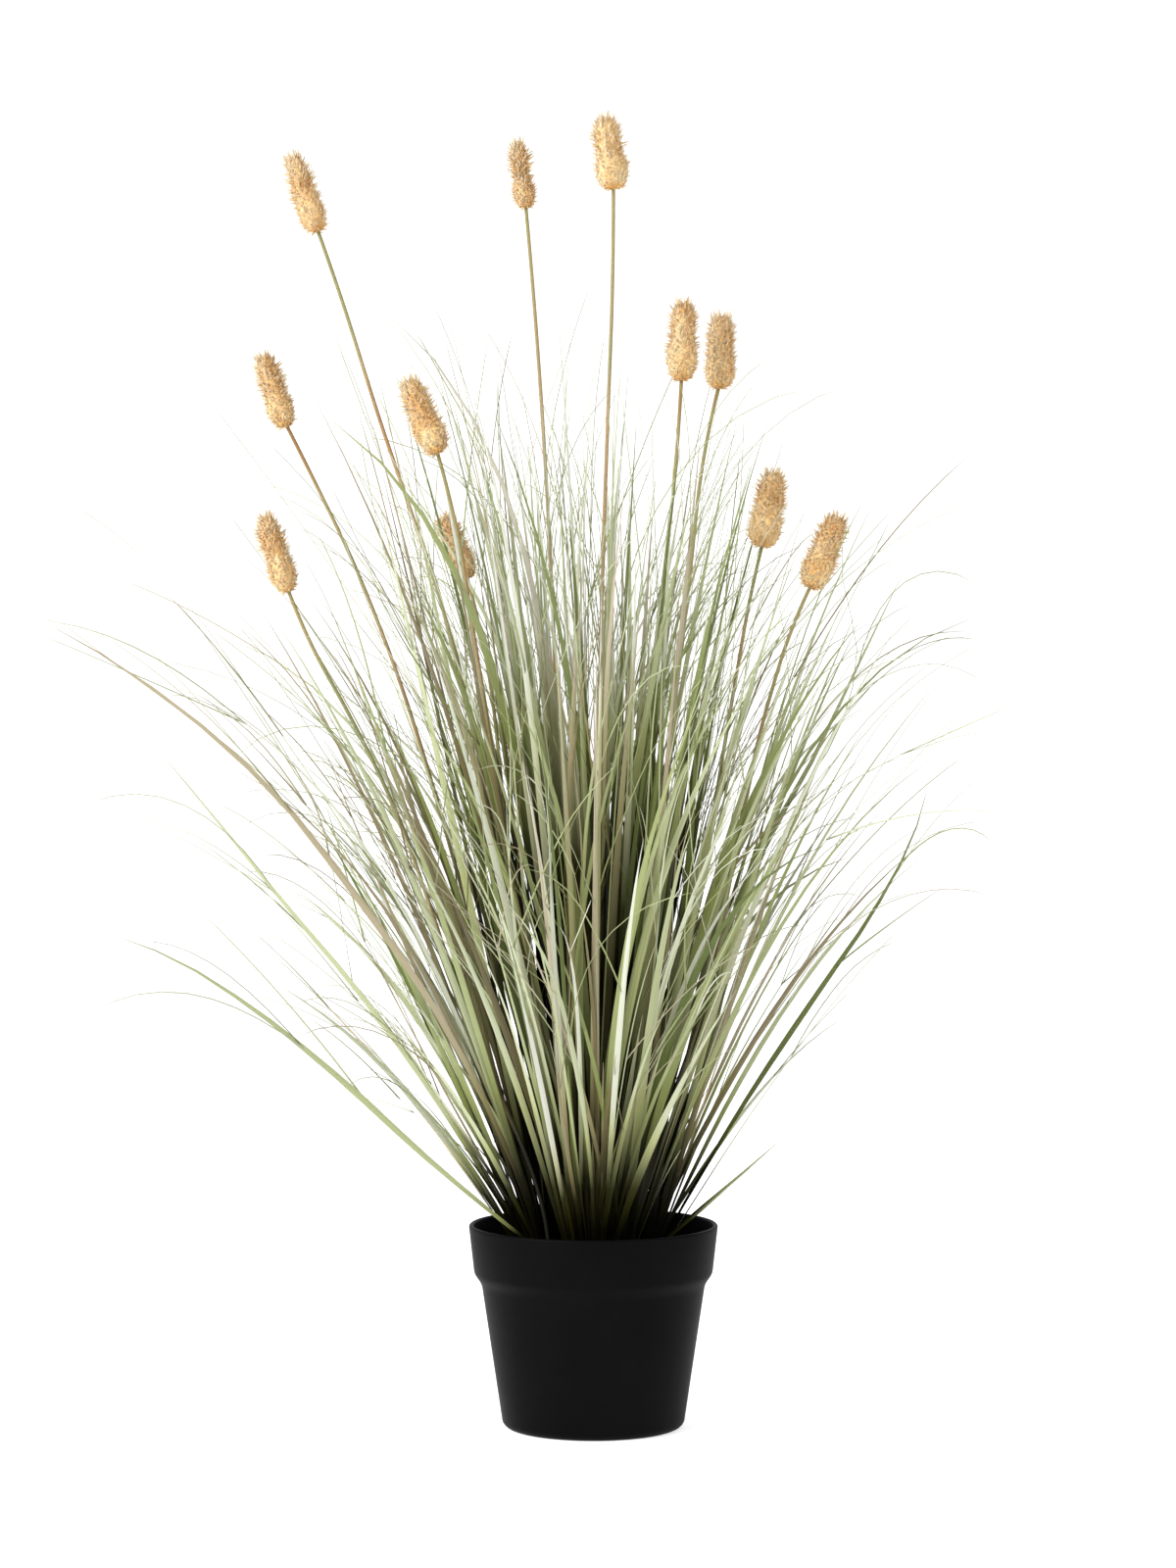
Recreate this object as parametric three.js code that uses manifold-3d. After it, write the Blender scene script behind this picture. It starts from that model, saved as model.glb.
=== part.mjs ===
// Bunny tail grass in a black plastic pot.
// Millimetres, +Z up. The origin is the centre of the pot's flat underside, and the front is -Y.
import * as THREE from 'three';
import { mergeVertices } from 'three/addons/utils/BufferGeometryUtils.js';
import Module from 'manifold-3d';

const wasm = await Module();
wasm.setup();

// Pot: a straight taper below a wider collar.
const POT_HEIGHT = 98;
const POT_RIM_RADIUS = 60;
const POT_COLLAR_FOOT_RADIUS = 57.5;
const POT_COLLAR_FOOT = 74.5;
const POT_SHOULDER_RADIUS = 53.9;
const POT_SHOULDER = 69.3;
const POT_FOOT_RADIUS = 44.2;
const POT_FOOT_ROUND = 4.5;
const POT_WALL = 2.3;
const POT_FLOOR = 3;
const POT_SIDES = 40;
const FOOT_ROUND_STEPS = 3;
const LIP_STEPS = 4;

// Gap left between a piece and the piece that it stands in.
const GAP = 0.3;

// Soil, and the rings of its bumpy top.
const SOIL_TOP = 74;
const SOIL_BUMP = 1;
const SOIL_WAVES = [0.31, 0.27];
const SOIL_RINGS = [0, 14, 28, 42];
const SOIL_SIDES = 20;
const SOIL_EDGE = 2.6;

// Feet of the bunches of blades, spread over the crown like the seeds of a sunflower. A site too near a stem
// stays free.
const CROWN_RADIUS = 27;
const CROWN_SITES = 39;
const GOLDEN_ANGLE = Math.PI * (3 - Math.sqrt(5));
const FOOT_RADIUS = 2.6;
const FOOT_TOP = 77;
const FOOT_BOTTOM = 62;
const FOOT_SIDES = 6;
const ROOT_DEPTH = 2.5;
const ROOT_SPREAD = 1.2;
const BROWN_EVERY = 4;

// Blades: flattened three-sided cones bent along a line.
const BLADES_PER_TUFT = 4;
const BLADE_STEPS = 5;
const BLADE_WIDTH = [2.8, 4.2];
const BLADE_THICKNESS = 0.9;
const THREAD_STEPS = 3;
const THREAD_WIDTH = 1;
const THREAD_THICKNESS = 0.8;
const BLADE_LENGTH = [310, 460];
const SEAM_TOLERANCE = 0.03;
// How far the blades of one tuft fan out, how they lean and bend over, in radians at the edge of the crown,
// how much more the left side leans, and the most that a tip tilts.
const FAN_SPREAD = 5.4;
const LEAN = [0.14, 0.66];
const BEND = [0.2, 1.3];
const LEFT_LEAN = 0.14;
const MOST_TILT = 1.05;

// Flower stems and their seed heads.
const STEM_RADIUS = 1.05;
const STEM_SIDES = 6;
const STEM_STEPS = 11;
const STEM_FOOT_BOTTOM = 65;
const STEM_FREE = 4.3;
const STEM_RISE = 10;
const HEAD_COLUMNS = 12;
const HEAD_ROWS = 10;
const HEAD_SOCKET_DEPTH = 5;
const SPIKELET_REACH = 2.2;
// Radius and height of the head's core, as shares of its own.
const HEAD_OUTLINE = [[0.2, 0], [0.66, 0.06], [0.96, 0.17], [1, 0.3], [0.9, 0.48], [0.82, 0.66],
  [0.76, 0.85], [0.34, 1]];

// Combing: strands of different pieces are pushed apart until they are this far clear.
const COMB_GAP = 0.5;
const COMB_PASSES = 220;
const COMB_EXTRA = 0.05;
const ROOT_HOLD = 0.6;

// Each flower: the tip and the base of its head, its widest radius, points that its stem passes on the way
// down, and where the stem stands in the soil.
const FLOWERS = [
  { tip: [-143, -30, 609], base: [-130, -30, 572], radius: 7.2, foot: [-13, -6],
    stem: [[-118, -28, 537], [-104, -25, 492], [-67, -18, 378], [-38, -12, 230]] },
  { tip: [-38, 60, 626], base: [-33, 60, 592], radius: 6.4, foot: [-6, 14],
    stem: [[-29, 54, 544], [-23, 44, 457], [-16, 30, 300]] },
  { tip: [5, 0, 631], base: [10, 0, 595], radius: 9, foot: [1, 1],
    stem: [[9, 0, 545], [7, 0, 489], [4, 0, 395], [2, 0, 240]] },
  { tip: [-160, 10, 518], base: [-148, 10, 482], radius: 7.2, foot: [-17, 5],
    stem: [[-134, 9, 455], [-115, 9, 415], [-102, 8, 383], [-58, 7, 240]] },
  { tip: [-88, -40, 503], base: [-73, -40, 467], radius: 8.2, foot: [-10, -17],
    stem: [[-64, -38, 429], [-57, -36, 385], [-33, -29, 230]] },
  { tip: [43, -10, 542], base: [42, -10, 503], radius: 8.2, foot: [8.5, -4.5],
    stem: [[39, -10, 460], [34, -9, 413], [29, -9, 371], [19, -7, 220]] },
  { tip: [62, 20, 538], base: [61, 20, 501], radius: 8.2, foot: [11, 8],
    stem: [[54, 19, 471], [46, 17, 404], [27, 13, 240]] },
  { tip: [-155, -50, 439], base: [-143, -50, 402], radius: 7.2, foot: [-21, -12.5],
    stem: [[-132, -47, 376], [-116, -43, 346], [-102, -40, 318], [-60, -27, 200]] },
  { tip: [-75, 70, 442], base: [-62, 70, 410], radius: 7.4, foot: [-15.5, 18.5],
    stem: [[-54, 64, 375], [-42, 50, 280], [-25, 30, 160]] },
  { tip: [89, 50, 464], base: [83, 50, 425], radius: 9, foot: [17, 15.5],
    stem: [[77, 47, 400], [70, 44, 361], [46, 33, 220]] },
  { tip: [117, -20, 440], base: [103, -20, 404], radius: 8.4, foot: [19, -6],
    stem: [[92, -19, 378], [84, -18, 352], [54, -14, 210]] },
];

// Long blades that reach out of the bunch, from the crown to the tip, and the split ends that leave them.
const REACHING_BLADES = [
  { width: 4.2, line: [[-33, -22, 88], [-78, -46, 211], [-115, -60, 265], [-144, -68, 303], [-191, -76, 347],
    [-254, -84, 388]], ends: [[[-134, -66, 293], [-195, -62, 357], [-235, -56, 385]],
    [[-108, -58, 282], [-144, -48, 324], [-188, -44, 355]]] },
  { width: 3.8, line: [[-34, -8, 88], [-78, -18, 164], [-115, -24, 216], [-144, -28, 251], [-172, -31, 286],
    [-207, -36, 329]], ends: [[[-144, -28, 251], [-170, -18, 270], [-210, -12, 291]]] },
  { width: 3.8, line: [[-32, -30, 86], [-78, -68, 138], [-120, -92, 180], [-162, -112, 216],
    [-191, -122, 235], [-217, -130, 246]], ends: [[[-106, -86, 170], [-144, -94, 216], [-181, -100, 256]]] },
  { width: 3.4, line: [[26, -22, 88], [60, -52, 200], [84, -72, 270], [113, -88, 310], [139, -98, 326],
    [187, -112, 339]], ends: [[[100, -82, 296], [134, -84, 346], [183, -88, 380]]] },
  { width: 3.8, line: [[34, -6, 90], [73, -14, 159], [110, -22, 216], [132, -27, 249], [153, -32, 291],
    [158, -36, 310]], ends: [[[110, -22, 216], [139, -34, 244], [165, -44, 263]]] },
  { width: 4.4, line: [[30, 8, 90], [58, 18, 190], [80, 26, 272], [106, 33, 319], [129, 38, 366],
    [152, 44, 413]], ends: [[[100, 31, 308], [128, 24, 370], [120, 20, 420], [124, 18, 443]]] },
  { width: 2.8, line: [[26, -8, 80], [50, -16, 106], [89, -30, 142]], ends: [] },
  { width: 2.8, line: [[22, -14, 80], [42, -24, 100], [74, -42, 130]], ends: [] },
  { width: 3.4, line: [[-20, 28, 90], [-50, 78, 190], [-84, 118, 260], [-130, 160, 300]],
    ends: [[[-66, 98, 226], [-96, 150, 290], [-112, 190, 330]]] },
  { width: 3.4, line: [[18, 30, 90], [46, 84, 180], [80, 128, 240], [120, 170, 270]],
    ends: [[[62, 106, 212], [84, 150, 290], [96, 196, 336]]] },
  { width: 3.2, line: [[0, 35, 88], [4, 86, 160], [-4, 130, 210], [-14, 180, 240]], ends: [] },
  { width: 3.2, line: [[4, -35, 88], [-6, -80, 170], [-20, -120, 230], [-38, -170, 262]],
    ends: [[[-13, -100, 200], [10, -140, 250], [44, -176, 268]]] },
];

const MATERIALS = {
  pot: { color: 0x151517, roughness: 0.55 },
  soil: { color: 0x2c2a1c, roughness: 0.95 },
  green: { color: 0x99a070, roughness: 0.7 },
  brown: { color: 0x8e8668, roughness: 0.7 },
  stem: { color: 0xc0ac7c, roughness: 0.8 },
  head: { color: 0xe6c998, roughness: 0.9 },
};
const Z_AXIS = new THREE.Vector3(0, 0, 1);
const TINY = 1e-6;

// A repeatable stream of numbers from 0 to 1.
function seededRandom(seed) {
  let state = seed;
  return () => {
    state = (state + 0x6d2b79f5) | 0;
    let mixed = Math.imul(state ^ (state >>> 15), 1 | state);
    mixed = (mixed + Math.imul(mixed ^ (mixed >>> 7), 61 | mixed)) ^ mixed;
    return ((mixed ^ (mixed >>> 14)) >>> 0) / 4294967296;
  };
}

const vector = (point) => new THREE.Vector3(...point);
const between = (random, low, high) => low + (high - low) * random();

// ---- Solids and meshes ----

function toSolid(geometry) {
  const bare = geometry.index ? geometry.toNonIndexed() : geometry.clone();
  bare.deleteAttribute('normal');
  bare.deleteAttribute('uv');
  const merged = mergeVertices(bare, 1e-4);
  const corners = merged.index.array;
  const kept = [];
  for (let i = 0; i < corners.length; i += 3) {
    const [a, b, c] = corners.slice(i, i + 3);
    if (a !== b && b !== c && c !== a) kept.push(a, b, c);
  }
  return new wasm.Manifold(new wasm.Mesh({
    numProp: 3,
    vertProperties: new Float32Array(merged.attributes.position.array),
    triVerts: new Uint32Array(kept),
  }));
}

function toGeometry(solid) {
  const mesh = solid.getMesh();
  const geometry = new THREE.BufferGeometry();
  geometry.setAttribute('position', new THREE.BufferAttribute(mesh.vertProperties, 3));
  geometry.setIndex(new THREE.BufferAttribute(mesh.triVerts, 1));
  geometry.computeVertexNormals();
  return geometry;
}

function namedMesh(name, geometry, kind) {
  const mesh = new THREE.Mesh(geometry, new THREE.MeshStandardMaterial({ ...MATERIALS[kind], metalness: 0 }));
  mesh.name = name;
  return mesh;
}

// An upright rod from one height to another.
function rod(radius, bottom, top, sides, x, y) {
  const geometry = new THREE.CylinderGeometry(radius, radius, top - bottom, sides);
  geometry.rotateX(Math.PI / 2);
  geometry.translate(x, y, (top + bottom) / 2);
  return geometry;
}

// ---- Pot and soil ----

function potRadius(height) {
  const share = (height - POT_FOOT_ROUND) / (POT_SHOULDER - POT_FOOT_ROUND);
  return THREE.MathUtils.lerp(POT_FOOT_RADIUS, POT_SHOULDER_RADIUS, share);
}

// The pot's outline goes up the outside, over the round lip and down the inside.
function buildPot() {
  const lipRound = POT_WALL / 2;
  const outline = [new THREE.Vector2(0, 0)];
  for (let step = 0; step <= FOOT_ROUND_STEPS; step++) {
    const angle = (step / FOOT_ROUND_STEPS) * (Math.PI / 2);
    outline.push(new THREE.Vector2(
      POT_FOOT_RADIUS - POT_FOOT_ROUND * (1 - Math.sin(angle)), POT_FOOT_ROUND * (1 - Math.cos(angle))));
  }
  outline.push(new THREE.Vector2(POT_SHOULDER_RADIUS, POT_SHOULDER));
  outline.push(new THREE.Vector2(POT_COLLAR_FOOT_RADIUS, POT_COLLAR_FOOT));
  for (let step = 0; step <= LIP_STEPS; step++) {
    const angle = (step / LIP_STEPS) * Math.PI;
    outline.push(new THREE.Vector2(
      POT_RIM_RADIUS - lipRound * (1 - Math.cos(angle)), POT_HEIGHT - lipRound * (1 - Math.sin(angle))));
  }
  outline.push(new THREE.Vector2(POT_COLLAR_FOOT_RADIUS - POT_WALL, POT_COLLAR_FOOT + POT_WALL / 2));
  outline.push(new THREE.Vector2(POT_SHOULDER_RADIUS - POT_WALL, POT_SHOULDER + POT_WALL / 2));
  outline.push(new THREE.Vector2(potRadius(POT_FLOOR) - POT_WALL, POT_FLOOR));
  outline.push(new THREE.Vector2(0, POT_FLOOR));
  const geometry = new THREE.LatheGeometry(outline, POT_SIDES);
  geometry.rotateX(Math.PI / 2);
  return namedMesh('pot', geometry, 'pot');
}

// The soil fills the pot, with bumps on its top, and has a plain hole for each foot and stem.
function buildSoil(sites) {
  const wall = POT_WALL + GAP / Math.cos(Math.PI / POT_SIDES);
  const outline = [new THREE.Vector2(0, POT_FLOOR)];
  outline.push(new THREE.Vector2(potRadius(POT_FLOOR) - wall, POT_FLOOR));
  outline.push(new THREE.Vector2(POT_SHOULDER_RADIUS - wall, POT_SHOULDER + POT_WALL / 2));
  outline.push(new THREE.Vector2(POT_COLLAR_FOOT_RADIUS - wall - SOIL_EDGE, SOIL_TOP - SOIL_BUMP));
  for (const radius of SOIL_RINGS.toReversed()) outline.push(new THREE.Vector2(radius, SOIL_TOP));
  const geometry = new THREE.LatheGeometry(outline, SOIL_SIDES);
  geometry.rotateX(Math.PI / 2);
  const position = geometry.attributes.position;
  for (let i = 0; i < position.count; i++) {
    const [x, y, z] = [position.getX(i), position.getY(i), position.getZ(i)];
    const bump = SOIL_BUMP * Math.sin(x * SOIL_WAVES[0] + 1) * Math.cos(y * SOIL_WAVES[1]);
    if (z === SOIL_TOP) position.setZ(i, z + bump);
  }
  const footHole = FOOT_RADIUS + GAP / Math.cos(Math.PI / FOOT_SIDES);
  const stemHole = STEM_RADIUS + 2 * GAP;
  const lid = SOIL_TOP + 2 * SOIL_BUMP;
  const holes = [
    ...sites.map(([x, y]) => rod(footHole, FOOT_BOTTOM - GAP, lid, FOOT_SIDES, x, y)),
    ...FLOWERS.map(({ foot: [x, y] }) => rod(stemHole, STEM_FOOT_BOTTOM - GAP, lid, STEM_SIDES, x, y)),
  ];
  const drilled = toSolid(geometry).subtract(wasm.Manifold.union(holes.map(toSolid)));
  return namedMesh('soil', toGeometry(drilled), 'soil');
}

// ---- Flowers ----

// The centre line of a stem, from straight up out of the soil to inside the base of its head.
function stemCurve(flower) {
  const [footX, footY] = flower.foot;
  const rise = [[footX, footY, STEM_FOOT_BOTTOM], [footX, footY, SOIL_TOP + STEM_RISE]];
  const axis = vector(flower.tip).sub(vector(flower.base)).normalize();
  const end = vector(flower.base).addScaledVector(axis, HEAD_SOCKET_DEPTH - 2 * GAP);
  const points = [...rise, ...flower.stem.toReversed()].map(vector);
  return new THREE.CatmullRomCurve3([...points, end], false, 'chordal');
}

function buildStem(flower, name) {
  const section = new THREE.Shape();
  for (let side = 0; side < STEM_SIDES; side++) {
    const angle = (side / STEM_SIDES) * 2 * Math.PI;
    const [x, y] = [STEM_RADIUS * Math.cos(angle), STEM_RADIUS * Math.sin(angle)];
    if (side === 0) section.moveTo(x, y);
    else section.lineTo(x, y);
  }
  const geometry = new THREE.ExtrudeGeometry(section, {
    steps: STEM_STEPS, extrudePath: stemCurve(flower), bevelEnabled: false, curveSegments: 1,
  });
  return namedMesh(name, geometry, 'stem');
}

// A seed head: rows of spikelets round a club-shaped core. Each row is turned half a column past the one
// above, and every third point of that net is drawn out and up into the tip of a spikelet.
function headGeometry(length, radius, random) {
  const outline = new THREE.SplineCurve(HEAD_OUTLINE.map((point) => new THREE.Vector2(...point)));
  const geometry = new THREE.CylinderGeometry(1, 1, 1, HEAD_COLUMNS, HEAD_ROWS);
  const position = geometry.attributes.position;
  const reach = Array.from({ length: HEAD_COLUMNS * (HEAD_ROWS + 1) }, () => between(random, 0.7, 1.3));
  for (let i = 0; i < position.count; i++) {
    const [x, y, z] = [position.getX(i), position.getY(i), position.getZ(i)];
    const onAxis = Math.hypot(x, z) < TINY;
    const row = Math.round((0.5 - y) * HEAD_ROWS);
    const turn = Math.round((Math.atan2(x, z) / (2 * Math.PI)) * HEAD_COLUMNS);
    const column = (turn + HEAD_COLUMNS) % HEAD_COLUMNS;
    const point = outline.getPoint(1 - row / HEAD_ROWS);
    const isTip = (column + 2 * row) % 3 === 0 && row > 0 && row < HEAD_ROWS;
    const draw = isTip ? SPIKELET_REACH * reach[row * HEAD_COLUMNS + column] : 0;
    const away = onAxis ? 0 : point.x * (radius - SPIKELET_REACH / 2) + draw;
    const angle = ((column + row / 2) / HEAD_COLUMNS) * 2 * Math.PI;
    const up = point.y * length + draw + (onAxis && row === 0 ? 1 : 0);
    position.setXYZ(i, away * Math.cos(angle), away * Math.sin(angle), up);
  }
  return geometry;
}

function buildHead(flower, name, random) {
  const base = vector(flower.base);
  const axis = vector(flower.tip).sub(base);
  const turn = new THREE.Quaternion().setFromUnitVectors(Z_AXIS, axis.clone().normalize());
  const points = stemCurve(flower).getSpacedPoints(STEM_STEPS);
  const back = turn.clone().invert();
  const inward = points[STEM_STEPS].clone().sub(points[STEM_STEPS - 1]).normalize().applyQuaternion(back);
  const end = points[STEM_STEPS].clone().sub(base).applyQuaternion(back).addScaledVector(inward, GAP);
  const socket = rod(STEM_RADIUS + 2 * GAP, -3 * HEAD_SOCKET_DEPTH, 0, STEM_SIDES, 0, 0);
  socket.applyQuaternion(new THREE.Quaternion().setFromUnitVectors(Z_AXIS, inward));
  socket.translate(end.x, end.y, end.z);
  const solid = toSolid(headGeometry(axis.length() - SPIKELET_REACH, flower.radius, random));
  const mesh = namedMesh(name, toGeometry(solid.subtract(toSolid(socket))), 'head');
  mesh.position.copy(base);
  mesh.quaternion.copy(turn);
  return mesh;
}

// ---- Strands: the centre lines of blades and split ends ----

// A strand holds the points of its line, the way its flat side faces, its size, and the strand and point it
// grows from.
function newStrand(piece, points, width, thickness, facing, host = null, hostPoint = 0) {
  return { piece, points, width, thickness, facing, host, hostPoint };
}

// A line that starts at a point, leans away from upright and bends further over as it goes.
function archedLine(start, azimuth, lean, bend, length, steps) {
  const points = [start.clone()];
  for (let step = 0; step < steps; step++) {
    const share = (step + 0.5) / steps;
    const tilt = lean + bend * share * share;
    const stride = new THREE.Vector3(
      Math.sin(tilt) * Math.cos(azimuth), Math.sin(tilt) * Math.sin(azimuth), Math.cos(tilt));
    points.push(points[step].clone().addScaledVector(stride, length / steps));
  }
  return points;
}

// Blades of one tuft: the further the tuft is from the middle, the more they lean out.
function tuftStrands(tuft, random) {
  const strands = [];
  const [x, y] = tuft.site;
  for (let blade = 0; blade < BLADES_PER_TUFT; blade++) {
    const around = (blade / BLADES_PER_TUFT) * 2 * Math.PI + between(random, -0.4, 0.4);
    const start = new THREE.Vector3(
      x + ROOT_SPREAD * Math.cos(around), y + ROOT_SPREAD * Math.sin(around), FOOT_TOP - ROOT_DEPTH);
    const [outX, outY] = [x + FAN_SPREAD * Math.cos(around), y + FAN_SPREAD * Math.sin(around)];
    const azimuth = Math.atan2(outY, outX);
    const share = Math.hypot(outX, outY) / (CROWN_RADIUS + FAN_SPREAD);
    const lean = (0.02 + share * between(random, ...LEAN)) * (1 - LEFT_LEAN * Math.cos(azimuth));
    const bend = Math.min((0.1 + 0.45 * share) * between(random, ...BEND), MOST_TILT - lean);
    const length = between(random, ...BLADE_LENGTH) * (1.1 - 0.25 * share) * (1.04 - 0.6 * lean);
    const line = archedLine(start, azimuth, lean, bend, length, BLADE_STEPS);
    const facing = around + between(random, -0.5, 0.5);
    const host = newStrand(tuft.name, line, between(random, ...BLADE_WIDTH), BLADE_THICKNESS, facing);
    strands.push(host);
    const leaves = BLADE_STEPS - 2;
    const droop = between(random, 0.2, 1);
    const side = azimuth + between(random, -1.2, 1.2);
    const split = archedLine(line[leaves], side, lean + bend * 0.4, droop, length * 0.4, THREAD_STEPS);
    strands.push(newStrand(tuft.name, split, THREAD_WIDTH, THREAD_THICKNESS, facing, host, leaves));
  }
  return strands;
}

function sampledLine(points, steps) {
  return new THREE.CatmullRomCurve3(points, false, 'chordal').getSpacedPoints(steps);
}

// The point of a line that lies nearest to a place.
function nearestPoint(line, place) {
  const distances = line.map((point) => point.distanceTo(place));
  return distances.indexOf(Math.min(...distances));
}

// A long hand-set blade grows from the nearest tuft that has no other such blade.
function reachingStrands(reach, tufts) {
  const points = reach.line.map(vector);
  const free = tufts.filter((tuft) => !tuft.reaches);
  const distance = (tuft) => Math.hypot(tuft.site[0] - points[0].x, tuft.site[1] - points[0].y);
  const tuft = free.reduce((best, next) => (distance(next) < distance(best) ? next : best));
  tuft.reaches = true;
  points[0] = new THREE.Vector3(...tuft.site, FOOT_TOP - ROOT_DEPTH);
  const line = sampledLine(points, BLADE_STEPS + 2);
  const facing = Math.atan2(points[1].y, points[1].x) + 0.4;
  const host = newStrand(tuft.name, line, reach.width, BLADE_THICKNESS, facing);
  const ends = reach.ends.map((end) => {
    const hostPoint = nearestPoint(line, vector(end[0]));
    const route = sampledLine([line[hostPoint].clone(), ...end.slice(1).map(vector)], THREAD_STEPS);
    return newStrand(tuft.name, route, THREAD_WIDTH, THREAD_THICKNESS, facing, host, hostPoint);
  });
  return [host, ...ends];
}

// ---- Combing ----

// How far a strand's edge lies from its centre line, at a share of its length.
function halfWidthAt(strand, share) {
  const taper = strand.host ? 1 - 0.6 * share : Math.min(0.6 + 1.6 * share, 1.08 - 0.9 * share ** 2.4);
  return Math.max((strand.width / 2) * taper, 0.4);
}

// The nearest points of two segments, as shares of each, with the way from the first to the second.
function nearestOnSegments(startA, endA, startB, endB) {
  const alongA = endA.clone().sub(startA);
  const alongB = endB.clone().sub(startB);
  const offset = startA.clone().sub(startB);
  const [aa, bb, ab] = [alongA.dot(alongA), alongB.dot(alongB), alongA.dot(alongB)];
  const [ao, bo] = [alongA.dot(offset), alongB.dot(offset)];
  const spread = aa * bb - ab * ab;
  const clamp = (value) => Math.min(Math.max(value, 0), 1);
  let onA = spread > TINY ? clamp((ab * bo - ao * bb) / spread) : 0;
  const onB = clamp((ab * onA + bo) / bb);
  onA = clamp((ab * onB - ao) / aa);
  const way = startB.clone().addScaledVector(alongB, onB).sub(startA).addScaledVector(alongA, -onA);
  return { onA, onB, way };
}

function pushPoint(strand, index, way, amount) {
  if (strand.fixed || index === 0) return;
  strand.points[index].addScaledVector(way, amount * (index === 1 ? ROOT_HOLD : 1));
}

// Moves one pair of segments apart, and says whether they were too close.
function partSegments(a, i, b, j) {
  const { onA, onB, way } = nearestOnSegments(a.points[i], a.points[i + 1], b.points[j], b.points[j + 1]);
  const need = a.reach[i] + b.reach[j] + COMB_GAP;
  const distance = way.length();
  if (distance >= need) return false;
  if (distance < TINY) way.set(1, 0, 0);
  else way.divideScalar(distance);
  way.z = 0;
  const push = (need - distance + COMB_EXTRA) * (a.fixed || b.fixed ? 1 : 0.5);
  pushPoint(a, i, way, -push * (1 - onA));
  pushPoint(a, i + 1, way, -push * onA);
  pushPoint(b, j, way, push * (1 - onB));
  pushPoint(b, j + 1, way, push * onB);
  return true;
}

// Pushes the strands of different pieces apart. A split end follows the blade it grows from.
function combClear(strands) {
  for (const strand of strands) {
    const last = strand.points.length - 1;
    strand.reach ??= strand.points.slice(1).map((_, i) => Math.max(
      halfWidthAt(strand, i / last), halfWidthAt(strand, (i + 1) / last)));
  }
  for (let pass = 0; pass < COMB_PASSES; pass++) {
    let allClear = true;
    for (const strand of strands) {
      strand.box = new THREE.Box3().setFromPoints(strand.points);
      strand.box.expandByScalar(Math.max(...strand.reach) + COMB_GAP);
    }
    strands.forEach((a, index) => {
      for (const b of strands.slice(index + 1)) {
        if (a.piece === b.piece || (a.fixed && b.fixed) || !a.box.intersectsBox(b.box)) continue;
        for (let i = 0; i < a.points.length - 1; i++) {
          for (let j = 0; j < b.points.length - 1; j++) {
            if (partSegments(a, i, b, j)) allClear = false;
          }
        }
      }
    });
    for (const strand of strands) {
      if (strand.host) strand.points[0].copy(strand.host.points[strand.hostPoint]);
    }
    if (allClear) return;
  }
}

// Stems and heads as strands that stay where they are.
function flowerStrands(flower, index) {
  const piece = `flower ${index}`;
  const line = stemCurve(flower).getSpacedPoints(STEM_STEPS);
  const stem = { piece, points: line, fixed: true, reach: Array(STEM_STEPS).fill(STEM_RADIUS) };
  const axis = [vector(flower.base), vector(flower.tip)];
  const head = { piece, points: axis, fixed: true, reach: [flower.radius + SPIKELET_REACH] };
  return [stem, head];
}

// ---- Blades as solids ----

// Bends a three-sided cone along a strand's line: one face stays flat, and the third edge is the rib.
function strandGeometry(strand) {
  const steps = strand.points.length - 1;
  const geometry = new THREE.ConeGeometry(1, 1, 3, steps);
  const position = geometry.attributes.position;
  const level = new THREE.Vector3(-Math.sin(strand.facing), Math.cos(strand.facing), 0);
  const frames = strand.points.map((point, i) => {
    const before = strand.points[Math.max(i - 1, 0)];
    const after = strand.points[Math.min(i + 1, steps)];
    const tangent = after.clone().sub(before).normalize();
    const side = level.clone().addScaledVector(tangent, -level.dot(tangent)).normalize();
    return { point, side, rib: side.clone().cross(tangent) };
  });
  for (let i = 0; i < position.count; i++) {
    const [x, y, z] = [position.getX(i), position.getY(i), position.getZ(i)];
    const ring = Math.round((y + 0.5) * steps);
    const { point, side, rib } = frames[ring];
    const radius = Math.hypot(x, z);
    const place = point.clone();
    if (radius > TINY) {
      place.addScaledVector(side, (x / radius) * (halfWidthAt(strand, ring / steps) / Math.sin(Math.PI / 3)));
      place.addScaledVector(rib, (z / radius) * (strand.thickness / 1.5));
    }
    position.setXYZ(i, ...place);
  }
  return geometry;
}

// The foot and its blades as one body, with any pocket that they seal filled.
function buildTuft(tuft, strands) {
  const foot = toSolid(rod(FOOT_RADIUS, FOOT_BOTTOM, FOOT_TOP, FOOT_SIDES, ...tuft.site));
  const blades = strands.filter((strand) => strand.piece === tuft.name).map(strandGeometry).map(toSolid);
  const bodies = wasm.Manifold.union([foot, ...blades]).simplify(SEAM_TOLERANCE).decompose();
  const body = bodies.reduce((best, next) => (next.volume() > best.volume() ? next : best));
  return namedMesh(tuft.name, toGeometry(body), tuft.colour);
}

// ---- The whole plant ----

function crownSites() {
  const sites = [];
  for (let site = 0; site < CROWN_SITES; site++) {
    const distance = CROWN_RADIUS * Math.sqrt((site + 0.5) / CROWN_SITES);
    sites.push([distance * Math.cos(site * GOLDEN_ANGLE), distance * Math.sin(site * GOLDEN_ANGLE)]);
  }
  const clear = ([x, y]) => FLOWERS.every(({ foot }) => Math.hypot(foot[0] - x, foot[1] - y) > STEM_FREE);
  return sites.filter(clear);
}

function makeTufts(sites) {
  const counts = { green: 0, brown: 0 };
  return sites.map((site, index) => {
    const colour = index % BROWN_EVERY === 2 ? 'brown' : 'green';
    counts[colour] += 1;
    return { name: `tuft_${colour}_${String(counts[colour]).padStart(2, '0')}`, colour, site };
  });
}

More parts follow.
